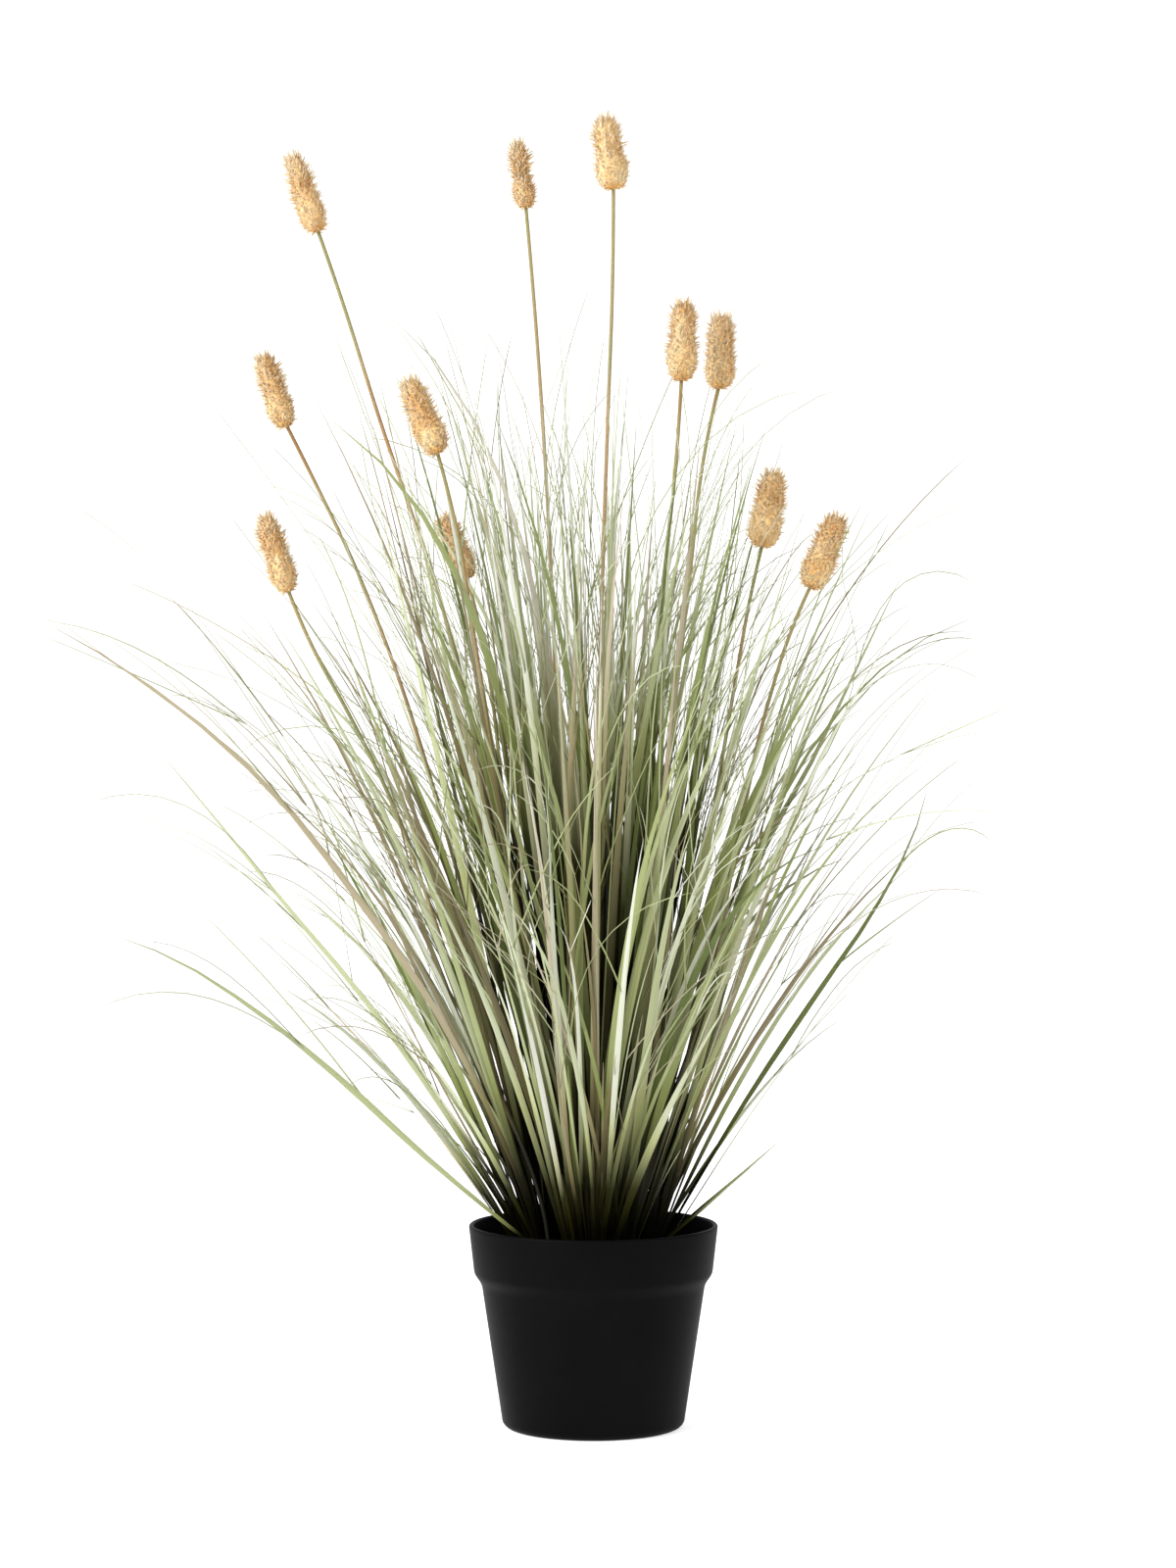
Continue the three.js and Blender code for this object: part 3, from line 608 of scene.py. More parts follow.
def pot_material():
    """Black moulded plastic: a fine grain, with faint marks from handling that are paler and rougher."""
    material, tree, shader = new_material("black_pot_plastic", 0.5, 0.035)
    place = place_on_piece(tree)
    marks = noise(tree, place, 28.0, 5.0)
    black = ramp(tree, marks, [(0.3, (6, 6, 7)), (0.6, (9, 9, 10)), (0.8, (14, 14, 15))])
    rough = tree.nodes.new("ShaderNodeMapRange")
    set_inputs(rough, To_Min=0.4, To_Max=0.58)
    tree.links.new(marks, rough.inputs["Value"])
    tree.links.new(rough.outputs["Result"], shader.inputs["Roughness"])
    return finished(material, shader, black, noise(tree, place, 1400.0, 2.0), 0.12, 0.0002)


def soil_material():
    """Dark potting soil with paler specks."""
    material, tree, shader = new_material("dark_soil", 0.95)
    lumps = noise(tree, place_on_piece(tree), 260.0, 6.0)
    brown = ramp(tree, lumps, [(0.3, (22, 19, 13)), (0.55, (44, 38, 26)), (0.75, (82, 70, 48))])
    return finished(material, shader, brown, lumps, 0.8, 0.001)


# ---- Pot ----


def pot_radius(height):
    share = (height - POT_FOOT_ROUND) / (POT_SHOULDER - POT_FOOT_ROUND)
    return POT_FOOT_RADIUS + (POT_SHOULDER_RADIUS - POT_FOOT_RADIUS) * share


def rounded_corner(before, corner, after, size, steps=4):
    """Points round a corner of the pot's outline, a given length before and after it."""
    before, corner, after = (np.array(point, float) for point in (before, corner, after))
    start = corner + (before - corner) * size / np.linalg.norm(before - corner)
    end = corner + (after - corner) * size / np.linalg.norm(after - corner)
    shares = [step / steps for step in range(steps + 1)]
    return [(1 - t) ** 2 * start + 2 * t * (1 - t) * corner + t**2 * end for t in shares]


def pot_outline():
    """(radius, height) up the outside, over the lip and down the inside, in millimetres."""
    lip = POT_WALL / 2
    foot = [(POT_FOOT_RADIUS - POT_FOOT_ROUND * (1 - math.sin(angle)),
             POT_FOOT_ROUND * (1 - math.cos(angle))) for angle in np.linspace(0, math.pi / 2, 8)]
    wall = [(pot_radius(height), height) for height in POT_WALL_STOPS]
    shoulder, collar = (POT_SHOULDER_RADIUS, POT_SHOULDER), (POT_COLLAR_FOOT_RADIUS, POT_COLLAR_FOOT)
    rim = (POT_RIM_RADIUS, POT_HEIGHT - lip)
    outside = (rounded_corner(wall[-1], shoulder, collar, POT_SHOULDER_ROUND)
               + rounded_corner(shoulder, collar, rim, POT_COLLAR_ROUND))
    over = [(POT_RIM_RADIUS - lip * (1 - math.cos(angle)), POT_HEIGHT - lip * (1 - math.sin(angle)))
            for angle in np.linspace(0, math.pi, 12)]
    inside_collar = (POT_COLLAR_FOOT_RADIUS - POT_WALL, POT_COLLAR_FOOT + lip)
    inside_shoulder = (POT_SHOULDER_RADIUS - POT_WALL, POT_SHOULDER + lip)
    inside_foot = (pot_radius(POT_FLOOR) - POT_WALL, POT_FLOOR)
    inside = (rounded_corner(over[-1], inside_collar, inside_shoulder, POT_INSIDE_ROUND)
              + rounded_corner(inside_collar, inside_shoulder, inside_foot, POT_INSIDE_ROUND))
    return foot + wall + outside + over + inside + [inside_foot]


def build_pot():
    """The outline drawn up from the underside a ring at a time, each ring moved and then resized."""
    outline = [(float(radius), float(height)) for radius, height in pot_outline()]
    deselect_all()
    bpy.ops.mesh.primitive_circle_add(vertices=POT_SIDES, radius=outline[0][0] * MM, fill_type="NGON",
                                      location=(0, 0, 0))
    pot = bpy.context.object
    pot.name = "black_pot"
    bpy.ops.object.mode_set(mode="EDIT")
    bpy.ops.mesh.select_all(action="SELECT")
    for (radius, height), (next_radius, next_height) in zip(outline, outline[1:]):
        extrude((0, 0, (next_height - height) * MM))
        scale = next_radius / radius
        bpy.ops.transform.resize(value=(scale, scale, 1), center_override=(0, 0, next_height * MM))
    close_mesh()
    bpy.ops.object.shade_smooth_by_angle(angle=math.radians(40))
    pot.data.materials.append(pot_material())
    return pot


# ---- Soil ----


def soil_wave(x, y):
    """How far the soil's top rises or dips at a place."""
    return math.sin(x * SOIL_WAVES[0] + 1) * math.cos(y * SOIL_WAVES[1])


def soil_fill(draw):
    """A disc drawn down to the pot's floor, its top inset ring by ring and roughened."""
    top_radius = POT_COLLAR_FOOT_RADIUS - POT_WALL - SOIL_TOP_GAP
    deselect_all()
    bpy.ops.mesh.primitive_cylinder_add(vertices=SOIL_SIDES, radius=top_radius * MM,
                                        depth=(SOIL_TOP - POT_FLOOR) * MM, end_fill_type="NGON",
                                        location=(0, 0, (SOIL_TOP + POT_FLOOR) / 2 * MM))
    fill = bpy.context.object
    bpy.ops.object.transform_apply(location=True, rotation=True, scale=True)
    foot_share = (pot_radius(POT_FLOOR) - POT_WALL - SOIL_FOOT_GAP) / top_radius
    for vertex in fill.data.vertices:
        if vertex.co.z < SOIL_TOP / 2 * MM:
            vertex.co.x *= foot_share
            vertex.co.y *= foot_share
    nothing_selected("FACE")
    for face in fill.data.polygons:
        face.select = face.normal.z > 0.9
    bpy.ops.object.mode_set(mode="EDIT")
    for _ in range(SOIL_RINGS):
        bpy.ops.mesh.inset(thickness=top_radius / (SOIL_RINGS + 1.5) * MM, depth=0)
    bpy.ops.object.mode_set(mode="OBJECT")
    waist = POT_SHOULDER_RADIUS - POT_WALL - SOIL_SHOULDER_GAP
    for vertex in fill.data.vertices:
        x, y, z = (value / MM for value in vertex.co)
        if z > SOIL_TOP - 1:
            vertex.co.z += (soil_wave(x, y) + draw.uniform(-0.5, 0.5)) * MM
            radius = math.hypot(x, y)
            if radius > waist:
                vertex.co.z = (SOIL_TOP - 1) * MM
                vertex.co.x *= (waist + SOIL_EDGE) / radius
                vertex.co.y *= (waist + SOIL_EDGE) / radius
    points, loops, sizes = mesh_arrays(fill)
    return points[None], loops, sizes, {}


def soil_crumbs(draw):
    """Rough grains that lie on the fill."""
    deselect_all()
    bpy.ops.mesh.primitive_ico_sphere_add(subdivisions=1, radius=1, location=(0, 0, 0))
    crumb, loops, sizes = mesh_arrays(bpy.context.object)
    placed = []
    for _ in range(SOIL_CRUMBS):
        radius = CRUMB_REACH * math.sqrt(draw.random())
        angle = draw.uniform(0, 2 * math.pi)
        size = draw.uniform(*CRUMB_SIZE)
        jitter = np.array([[draw.uniform(0.6, 1.2) for _ in range(3)] for _ in crumb])
        x, y = radius * math.cos(angle), radius * math.sin(angle)
        z = SOIL_TOP + soil_wave(x, y) + size * 0.3
        placed.append((crumb * jitter * size + (x, y, z)) * MM)
    return np.array(placed), loops, sizes, {}


def build_soil():
    draw = random.Random(5)
    return joined_copies("dark_soil", soil_material(), [soil_fill(draw), soil_crumbs(draw)], smooth=False)


# ---- Stems ----


def head_axis(flower):
    """The base of a flower's head, the way that the head points and its length."""
    base, tip = np.array(flower["base"], float), np.array(flower["tip"], float)
    length = np.linalg.norm(tip - base)
    return base, (tip - base) / length, length


def stem_line(flower):
    """A stem's way from its hole in the soil to just inside its head."""
    foot = flower["foot"]
    base, axis, _ = head_axis(flower)
    points = [(*foot, STEM_FOOT), (*foot, SOIL_TOP + STEM_RISE), *reversed(flower["stem"]),
              base + axis * STEM_IN_HEAD]
    return smooth_line(points, STEM_RINGS)


def build_stems():
    """Each stem thins towards its head and has one small joint partway up."""
    master = master_strip(10, STEM_RINGS)
    material = stem_material()
    shares = np.linspace(0, 1, STEM_RINGS)
    draw = random.Random(3)
    stems = []
    for number, flower in enumerate(FLOWERS, 1):
        joint = draw.uniform(0.55, 0.75)
        width = 2 * STEM_RADIUS * (1.04 - 0.22 * shares) + 0.5 * np.exp(-((shares - joint) / 0.008) ** 2)
        batch = bent_once(master, stem_line(flower), width, draw.random())
        stems.append(joined_copies(f"flower_stem_{number:02d}", material, [batch]))
    return stems


# ---- Seed heads ----


class HeadSurface:
    """The lumpy surface of one head. A place on it is a share of the way up and an angle round the axis."""

    def __init__(self, flower, draw):
        self.base, self.axis, length = head_axis(flower)
        self.length = length - HEAD_SHORTER
        side = np.cross(self.axis, (0, 1, 0))
        self.side = side / np.linalg.norm(side)
        self.other = np.cross(self.axis, self.side)
        self.widest = flower["radius"] - HEAD_SLIMMER
        self.waist = flower.get("waist", HEAD_WAIST)
        self.waves = draw.uniform(0, 2 * math.pi, 4)

    def radius(self, share, angle):
        waves = self.waves
        lumps = (np.sin(3 * angle + 7 * share + waves[0]) + np.sin(2 * angle - 13 * share + waves[1])
                 + 0.7 * np.sin(5 * angle + 23 * share + waves[2]))
        narrowing = 1 - self.waist * np.exp(-((share - 0.48) / 0.14) ** 2)
        radii, heights = zip(*HEAD_OUTLINE)
        return self.widest * np.interp(share, heights, radii) * narrowing * (1 + 0.03 * lumps)

    def outward(self, angle):
        return np.cos(angle)[:, None] * self.side + np.sin(angle)[:, None] * self.other

    def centre(self, share):
        return self.base + self.axis * (share * self.length)[:, None]

    def point(self, share, angle, depth):
        return self.centre(share) + self.outward(angle) * (self.radius(share, angle) * depth)[:, None]


def head_core(surface, core):
    """The body inside the hairs: drawn along the axis as a plain tube, then pushed out to its lumps."""
    line = surface.centre(np.linspace(0, 1, HEAD_RINGS))
    widths = np.full(HEAD_RINGS, 2.0)
    points, loops, sizes, attributes = bent_once(core, line, widths, HEAD_TONE, along=(0.4, 0.4))
    share = core[0][:, 2]
    away = points[0] / MM - surface.centre(share)
    angle = np.arctan2(away @ surface.other, away @ surface.side)
    placed = surface.centre(share) + away * surface.radius(share, angle)[:, None]
    streaks = HEAD_TONE + 0.07 * np.sin(4 * angle + surface.waves[3]) + 0.05 * np.sin(9 * angle + 5 * share)
    attributes["tone"] = (streaks - 0.3 * np.clip(1 - share / 0.12, 0, 1))[None, :]
    return placed[None] * MM, loops, sizes, attributes


def hair_tone_and_painted_light(share, angle):
    """Hairs are ochre at the foot of a head. Down one side of it runs an ochre band of painted shade, and
    the side towards the key light is painted paler, as painted light.
    """
    painted_shade_band = np.exp(-(((angle - 2.2 + math.pi) % (2 * math.pi) - math.pi) / 0.5) ** 2)
    foot = np.clip(1 - share / 0.1, 0, 1)
    # The cosine term is painted light on the side towards the key light, and the band term is painted shade.
    return 0.62 + 0.08 * np.cos(angle) - 0.24 * painted_shade_band * np.clip(share / 0.3, 0.3, 1) - 0.35 * foot


def hair_copies(hair, lines, widths, taper, angle, tones):
    """Hairs along three-point lines, each tapered from its width at the root."""
    widths = widths[:, None] * np.array(taper)
    return bent_copies(hair, lines, widths, widths, angle, np.zeros(len(lines)), np.clip(tones, 0, 1))


def spiral(draw, count, share_limits, stray):
    """Places spread evenly over a head: their shares of the way up, and their angles round it."""
    share = (np.arange(count) + draw.uniform(*share_limits, count)) / count
    return share, np.arange(count) * GOLDEN_ANGLE + draw.normal(0, stray, count)


def scaled_to(headings, lengths):
    """The same directions, each made as long as its length says."""
    return headings * (lengths / np.linalg.norm(headings, axis=1))[:, None]


def head_fuzz(surface, hair, draw):
    """Short hairs all over the head."""
    count = HEAD_FUZZ // HAIR_DIVISOR
    share, angle = spiral(draw, count, (0, 1), 0.3)
    upward = np.where(share < 0.08, -0.5 + 14 * share, 0.9)
    heading = surface.outward(angle) + surface.axis * upward[:, None] + draw.normal(0, 0.3, (count, 3))
    heading = scaled_to(heading, draw.uniform(*FUZZ_LENGTH, count))
    lines = surface.point(share, angle, FUZZ_DEPTH)[:, None] + heading[:, None] * HAIR_STEPS
    widths = draw.uniform(*FUZZ_WIDTH, count)
    tones = hair_tone_and_painted_light(share, angle) + draw.normal(0, 0.04, count)
    return hair_copies(hair, lines, widths, FUZZ_TAPER, angle, tones)


def head_spikes(surface, hair, draw):
    """Longer hairs whose ends are drawn together into spikes, which stand up at the tip of the head."""
    spikes = HEAD_SPIKES // HAIR_DIVISOR
    share, angle = spiral(draw, spikes, (0.1, 0.9), 0.15)
    at_the_tip = 3 * np.clip(share / 0.14 - 6.1, 0, 1)
    upward = np.where(share < 0.12, -0.5 + 7 * share, 0.35 + 0.5 * share**3 + at_the_tip)
    heading = surface.outward(angle) + surface.axis * upward[:, None] + draw.normal(0, 0.2, (spikes, 3))
    reach = draw.uniform(*SPIKE_LENGTH, spikes) * (0.62 + 0.38 * np.clip((share - 0.2) / 0.4, 0, 1))
    ends = surface.point(share, angle, SPIKE_DEPTH) + scaled_to(heading, reach)

    spike = np.repeat(np.arange(spikes), SPIKE_HAIRS)
    count = len(spike)
    share, angle = share[spike], angle[spike]
    hair_share = np.clip(share + draw.normal(0, 0.011, count), 0.004, 1)
    hair_angle = angle + draw.normal(0, 0.07, count)
    begin = surface.point(hair_share, hair_angle, SPIKE_DEPTH)
    finish = ends[spike] + draw.normal(0, 0.14, (count, 3))
    bow = surface.outward(hair_angle)[:, None] * (0.35 * HAIR_STEPS * (1 - HAIR_STEPS))
    lines = begin[:, None] + (finish - begin)[:, None] * HAIR_STEPS + bow
    widths = draw.uniform(*SPIKE_WIDTH, count)
    tones = hair_tone_and_painted_light(share, angle) + draw.normal(0, 0.045, spikes)[spike] + draw.normal(0, 0.025, count)
    return hair_copies(hair, lines, widths, SPIKE_TAPER, hair_angle, tones)


def build_heads():
    core = master_strip(HEAD_SIDES, HEAD_RINGS)
    hair = master_strip(3, 3)
    material = head_material()
    heads = []
    for number, flower in enumerate(FLOWERS, 1):
        draw = np.random.default_rng(100 + number)
        surface = HeadSurface(flower, draw)
        batches = [head_core(surface, core), head_fuzz(surface, hair, draw),
                   head_spikes(surface, hair, draw)]
        heads.append(joined_copies(f"seed_head_{number:02d}_hairs", material, batches))
    return heads


# ---- Grass ----


def crown_sites():
    """Where the bunches stand: a spiral of even places, without those that a stem needs."""
    sites = []
    for site in range(CROWN_SITES):
        distance = CROWN_RADIUS * math.sqrt((site + 0.5) / CROWN_SITES)
        sites.append((distance * math.cos(site * GOLDEN_ANGLE), distance * math.sin(site * GOLDEN_ANGLE)))
    feet = [flower["foot"] for flower in FLOWERS]
    return [site for site in sites if all(math.dist(foot, site) > STEM_FREE for foot in feet)]


def make_tufts():
    counts = {"green": 0, "brown": 0}
    tufts = []
    for index, site in enumerate(crown_sites()):
        colour = "brown" if index % BROWN_EVERY == 2 else "green"
        counts[colour] += 1
        tufts.append(dict(name=f"tuft_{colour}_{counts[colour]:02d}", colour=colour, site=site, blades=[],
                          threads=[]))
    return tufts


def fan_blade(site, around, draw, lean_limits, length_limits):
    """How one blade of a bunch grows: start, azimuth, lean, bend and length. Outer ones lean out more."""
    x, y = site
    start = (x + ROOT_SPREAD * math.cos(around), y + ROOT_SPREAD * math.sin(around), FOOT_TOP - ROOT_DEPTH)
    out_x, out_y = x + FAN_SPREAD * math.cos(around), y + FAN_SPREAD * math.sin(around)
    azimuth = math.atan2(out_y, out_x)
    share = math.hypot(out_x, out_y) / (CROWN_RADIUS + FAN_SPREAD)
    lean = (0.02 + share * between(draw, lean_limits)) * (1 - LEFT_LEAN * math.cos(azimuth))
    bend = min((0.1 + 0.45 * share) * between(draw, BEND), MOST_TILT - lean)
    length = between(draw, length_limits) * (1.1 - 0.25 * share) * (1.04 - 0.6 * lean)
    return start, azimuth, lean, bend, length


def add_main_blades(tuft, draw):
    """The blades that the solid bunch has too, in the same places, each with one split end."""
    for blade in range(MAIN_BLADES):
        around = blade / MAIN_BLADES * 2 * math.pi + between(draw, (-0.4, 0.4))
        start, azimuth, lean, bend, length = fan_blade(tuft["site"], around, draw, LEAN, BLADE_LENGTH)
        line = arched_line(start, azimuth, lean, bend, length, MAIN_STEPS)
        facing = around + between(draw, (-0.5, 0.5))
        width = between(draw, BLADE_WIDTH)
        droop = between(draw, (0.2, 1))
        side = azimuth + between(draw, (-1.2, 1.2))
        split = MAIN_STEPS - 2
        thread = arched_line(line[split], side, lean + bend * 0.4, droop, length * 0.4, SPLIT_STEPS)
        add_blade(tuft, smooth_line(line, BLADE_RINGS), width, facing)
        add_thread(tuft, smooth_line(thread, THREAD_RINGS), facing)


def add_blade(tuft, line, width, facing, fullness=2.2):
    """A blade keeps its width further up the fuller it is."""
    tuft["blades"].append(dict(line=line, width=width, facing=facing, fullness=fullness))


def add_thread(tuft, line, facing):
    tuft["threads"].append(dict(line=line, facing=facing))


def in_front_of_head(line):
    """Whether a line would cross the front of a seed head that stands clear of the blades."""
    fine = np.stack([np.interp(np.linspace(0, 1, 90), np.linspace(0, 1, len(line)), line[:, axis])
                     for axis in range(3)], axis=1)
    for flower in FLOWERS:
        if flower.get("among_blades"):
            continue
        base, tip = np.array(flower["base"], float), np.array(flower["tip"], float)
        share = (fine[:, 2] - base[2]) / (tip[2] - base[2])
        aside = np.abs(fine[:, 0] - base[0] - (tip[0] - base[0]) * share)
        ahead = fine[:, 1] < base[1] + HEAD_CLEAR
        if np.any((share > -0.05) & (share < 1.1) & (aside < HEAD_CLEAR) & ahead):
            return True
    return False


def inside_reach(line, top):
    """Whether a line stays below a height, within the reach of the solid plant and off the seed heads."""
    low, high = (np.array(corner) / MM for corner in CAD_BOUNDS)
    within = np.all(line > low - REACH_MARGIN) and np.all(line < high + REACH_MARGIN)
    return bool(within and np.all(line[:, 2] < top) and not in_front_of_head(line))


def split_ends(tuft, line, count, rng, length):
    """Thin ends that part from the upper blade at a small angle, some nearly straight, some arching over."""
    first, last = (int(BLADE_RINGS * share) for share in SPLIT_SHARE)
    for _ in range(count):
        ring = rng.randint(first, last)
        heading = line[ring + 1] - line[ring - 1]
        heading = heading / np.linalg.norm(heading) + [rng.gauss(0, THREAD_STRAY) for _ in range(3)]
        tilt = math.acos(max(-1, min(1, heading[2] / np.linalg.norm(heading))))
        azimuth = math.atan2(heading[1], heading[0])
        reach = length * rng.uniform(*THREAD_LENGTH)
        droop = rng.choice(THREAD_DROOPS) * rng.uniform(0.6, 1.2)
        swing = rng.uniform(-0.5, 0.5)
        top = THREAD_TOP - abs(rng.gauss(0, 30))
        for _ in range(TRIES):
            thread = arched_line(line[ring], azimuth, tilt, droop, reach, THREAD_RINGS - 1, THREAD_POWER,
                                 swing)
            if inside_reach(thread, top):
                add_thread(tuft, thread, rng.uniform(0, math.pi))
                break
            reach *= THREAD_SHORTER


def add_fine_blades(tuft, rng):
    """More blades between the main ones, each with one to three split ends. A part of them droop."""
    for _ in range(FINE_BLADES):
        around = rng.uniform(0, 2 * math.pi)
        start, azimuth, lean, bend, length = fan_blade(tuft["site"], around, rng.random, FINE_LEAN,
                                                       FINE_LENGTH)
        # Blades lean and reach a little further to the left, and those that lean further are shorter.
        lean *= 1 - 0.1 * max(0, math.cos(azimuth))
        lean_x = lean * math.cos(azimuth) + rng.gauss(FINE_DRIFT, FINE_STRAY)
        lean_y = lean * math.sin(azimuth) + rng.gauss(0, FINE_STRAY)
        lean = min(MOST_LEAN, math.hypot(lean_x, lean_y))
        azimuth = math.atan2(lean_y, lean_x)
        length *= (1.25 - 1.05 * lean) * (1 - 0.05 * math.cos(azimuth))
        top = FINE_TOP + rng.gauss(0, 22)
        power, swing = rng.uniform(*FINE_POWER), rng.gauss(0, 0.5)
        if rng.random() < DROOPING_SHARE:
            bend = min(bend + rng.uniform(*DROOP), MOST_DROOP - lean)
            power = rng.uniform(*DROOP_POWER)
        for _ in range(TRIES):
            line = arched_line(start, azimuth, lean, bend, length, BLADE_RINGS - 1, power, swing)
            if inside_reach(line, top):
                break
            length *= BLADE_SHORTER
        # At the sides a blade is turned, so that some of its width shows from the front.
        facing = azimuth - 0.7 * math.cos(azimuth) + rng.uniform(-0.7, 0.7)
        width = FINE_WIDTH[0] + (FINE_WIDTH[1] - FINE_WIDTH[0]) * rng.random() ** 1.4
        add_blade(tuft, line, width * (1.08 - 0.4 * lean), facing, 2.5 - 2 * lean)
        split_ends(tuft, line, rng.choice(SPLIT_COUNTS), rng, length)


def add_short_blades(tuft, rng):
    """Short blades that close the gaps at the foot of the clump."""
    for _ in range(SHORT_BLADES):
        around = rng.uniform(0, 2 * math.pi)
        start, azimuth, *growth = fan_blade(tuft["site"], around, rng.random, SHORT_LEAN, SHORT_LENGTH)
        line = arched_line(start, azimuth, *growth, BLADE_RINGS - 1)
        width = rng.uniform(*SHORT_WIDTH)
        add_blade(tuft, line, width, azimuth + rng.uniform(-0.8, 0.8), SHORT_FULLNESS)


def add_reaching_blades(tufts):
    """The listed blades, each from the nearest bunch that has no other."""
    taken = set()
    for number, reach in enumerate(REACHING_BLADES):
        points = [np.array(point, float) for point in reach["line"]]
        free = [tuft for tuft in tufts if tuft["name"] not in taken]
        tuft = min(free, key=lambda one: math.dist(one["site"], points[0][:2]))
        taken.add(tuft["name"])
        points[0] = np.array((*tuft["site"], FOOT_TOP - ROOT_DEPTH))
        line = smooth_line(points, BLADE_RINGS)
        facing = math.atan2(points[1][1], points[1][0]) + reach.get("turn", 0.8)
        add_blade(tuft, line, reach["width"], facing)
        for end in reach["ends"]:
            near = int(np.argmin(np.linalg.norm(line - np.array(end[0]), axis=1)))
            add_thread(tuft, smooth_line([line[near], *end[1:]], THREAD_RINGS), facing)
        if reach["ends"]:
            rng = random.Random(900 + number)
            split_ends(tuft, line, 2, rng, float(np.linalg.norm(line[-1] - line[0])))


def blade_batch(tuft, master, rng):
    """The blades of a bunch: each narrow at its root, widest above it and drawn out to a point."""
    blades = tuft["blades"]
    shares = np.linspace(0, 1, BLADE_RINGS)
    fullness = np.array([blade["fullness"] for blade in blades])[:, None]
    taper = np.minimum(0.34 + 1.1 * shares, 1.06 - 1.04 * shares**fullness)
    widths = np.array([blade["width"] for blade in blades])[:, None] * taper
    widths = np.maximum(widths, np.where(shares < 1, LEAST_BLADE, TIP_WIDTH))
    thicknesses = np.minimum(BLADE_THICKNESS * (1.15 - 0.6 * shares), 1.2 * widths)
    facings = np.array([blade["facing"] for blade in blades])
    tones = rng.random(len(blades))
    twists = rng.normal(0, 0.5, len(blades))
    lines = [blade["line"] for blade in blades]
    return bent_copies(master, lines, widths, thicknesses, facings, twists, tones)


def thread_batch(tuft, master, rng):
    """The split ends of a bunch, coloured as the upper part of a blade."""
    threads = tuft["threads"]
    thin = THREAD_WIDTH * (1.1 - 0.62 * np.linspace(0, 1, THREAD_RINGS))
    widths = np.maximum(rng.uniform(0.7, 1.25, len(threads))[:, None] * thin, LEAST_THREAD)
    widths[:, -1] = TIP_WIDTH
    facings = np.array([thread["facing"] for thread in threads])
    twists = rng.normal(0, 1.2, len(threads))
    tones = rng.uniform(0.06, 0.78, len(threads))
    lines = [thread["line"] for thread in threads]
    return bent_copies(master, lines, widths, widths * 0.6, facings, twists, tones, along=(0.6, 1))


def foot_batch(tuft, master):
    """The short foot that the blades of a bunch grow from, standing in the soil."""
    x, y = tuft["site"]
    line = np.linspace((x, y, FOOT_TOP - FOOT_HEIGHT), (x, y, FOOT_TOP), len(FOOT_WIDTHS))
    return bent_once(master, line, FOOT_WIDTHS, 0.1, along=(0, 0))


def build_tuft(tuft, masters, material, seed):
    rng = np.random.default_rng(seed)
    batches = [blade_batch(tuft, masters["blade"], rng), thread_batch(tuft, masters["thread"], rng),
               foot_batch(tuft, masters["foot"])]
    piece = joined_copies(tuft["name"] + "_blades", material, batches)
    piece.data.set_sharp_from_angle(angle=EDGE_ANGLE)
    return piece


def build_grass():
    tufts = make_tufts()
    draw = seeded_random(11)
    add_reaching_blades(tufts)
    for index, tuft in enumerate(tufts):
        add_main_blades(tuft, draw)
        add_fine_blades(tuft, random.Random(300 + index))
        add_short_blades(tuft, random.Random(700 + index))
    masters = dict(blade=master_strip(4, BLADE_RINGS, BLADE_FOLD), thread=master_strip(3, THREAD_RINGS),
                   foot=master_strip(10, len(FOOT_WIDTHS)))
    materials = dict(green=blade_material("sage_green_blade", SAGE_TONES, SAGE_ROOT, SAGE_TIP),
                     brown=blade_material("mauve_brown_blade", MAUVE_TONES, MAUVE_ROOT, MAUVE_TIP))
    return [(build_tuft(tuft, masters, materials[tuft["colour"]], 40 + index), tuft)
            for index, tuft in enumerate(tufts)]


# ---- Camera, lights and floor, in metres ----

CAMERA_PLACE = (-0.0026, -2.1, 0.3768)
CAMERA_DOWN = math.radians(1.818)
CAMERA_LENS = 100.36
LIGHTS_AIM = (0, 0, 0.35)
FLOOR_SIZE = 10
FLOOR_CURVE_STEPS = 12
FLOOR_CURVE_STRIDE = 0.4
BACK_WALL = 6


def put(name, data, place, turn):
    thing = bpy.data.objects.new(name, data)
    thing.location = place
    thing.rotation_euler = turn
    bpy.context.scene.collection.objects.link(thing)
    return thing


def add_camera():
    data = bpy.data.cameras.new("camera")
    data.lens = CAMERA_LENS
    data.sensor_width = 36
    data.clip_end = 20
    bpy.context.scene.camera = put("camera", data, CAMERA_PLACE, (math.pi / 2 - CAMERA_DOWN, 0, 0))


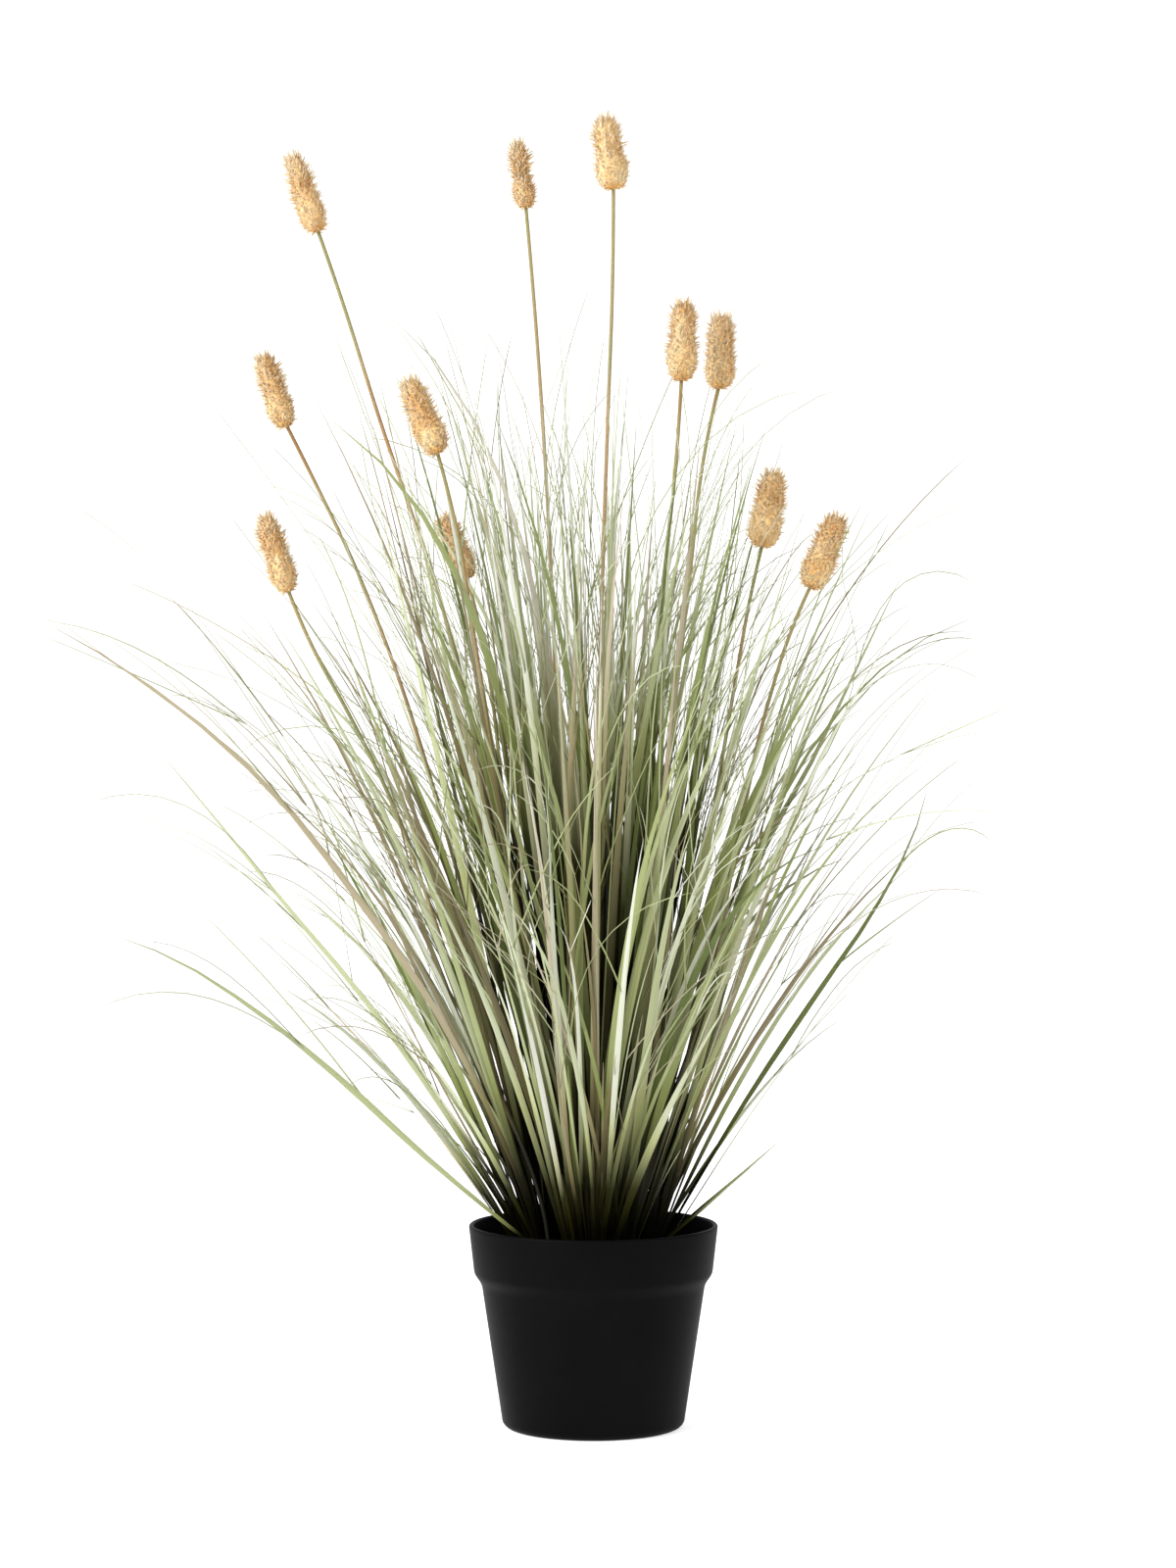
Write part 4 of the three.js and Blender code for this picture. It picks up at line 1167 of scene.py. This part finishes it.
def add_area_light(name, place, size, power):
    """A white square light that points at the middle of the plant."""
    data = bpy.data.lights.new(name, "AREA")
    data.size = size
    data.energy = power
    put(name, data, place, (Vector(LIGHTS_AIM) - Vector(place)).to_track_quat("-Z", "Y").to_euler())


def floor_material():
    """Pale and matt, with a light of its own, so that the floor stays almost white."""
    material, _, shader = new_material("pale_floor", 0.9, 0.1)
    set_inputs(shader, Base_Color=(0.85, 0.85, 0.85, 1), Emission_Color=(1, 1, 1, 1),
               Emission_Strength=0.62)
    return material


def build_backdrop():
    """A pale floor that curves up behind the plant."""
    deselect_all()
    bpy.ops.mesh.primitive_plane_add(size=FLOOR_SIZE, location=(0, 0, 0))
    floor = bpy.context.object
    floor.name = "pale_floor"
    nothing_selected("EDGE")
    for edge in floor.data.edges:
        edge.select = all(floor.data.vertices[index].co.y > 0 for index in edge.vertices)
    bpy.ops.object.mode_set(mode="EDIT")
    for step in range(FLOOR_CURVE_STEPS):
        angle = (step + 0.5) / FLOOR_CURVE_STEPS * math.pi / 2
        extrude((0, FLOOR_CURVE_STRIDE * math.cos(angle), FLOOR_CURVE_STRIDE * math.sin(angle)))
    extrude((0, 0, BACK_WALL))
    bpy.ops.object.mode_set(mode="OBJECT")
    bpy.ops.object.shade_smooth()
    floor.data.materials.append(floor_material())


def add_studio():
    world = bpy.data.worlds.new("studio")
    world.use_nodes = True
    set_inputs(world.node_tree.nodes["Background"], Color=(1, 1, 1, 1), Strength=0.56)
    bpy.context.scene.world = world
    add_area_light("key_left", (-1.7, -1.5, 1.5), 1.6, 68)
    add_area_light("fill_right", (1.8, -1.0, 0.9), 1.4, 9)
    build_backdrop()
    bpy.context.scene.view_settings.view_transform = "Standard"


# ---- Everything together ----


def seat(piece, node):
    """Puts a piece on the plant's one body and in place of its solid."""
    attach(piece, "root")
    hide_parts(node)


def build_plant():
    seat(build_pot(), "pot")
    seat(build_soil(), "soil")
    for number, stem in enumerate(build_stems(), 1):
        seat(stem, f"stem_{number:02d}")
    for number, head in enumerate(build_heads(), 1):
        seat(head, f"head_{number:02d}")
    for piece, tuft in build_grass():
        seat(piece, tuft["name"])


deselect_all()
add_camera()
add_studio()
build_plant()
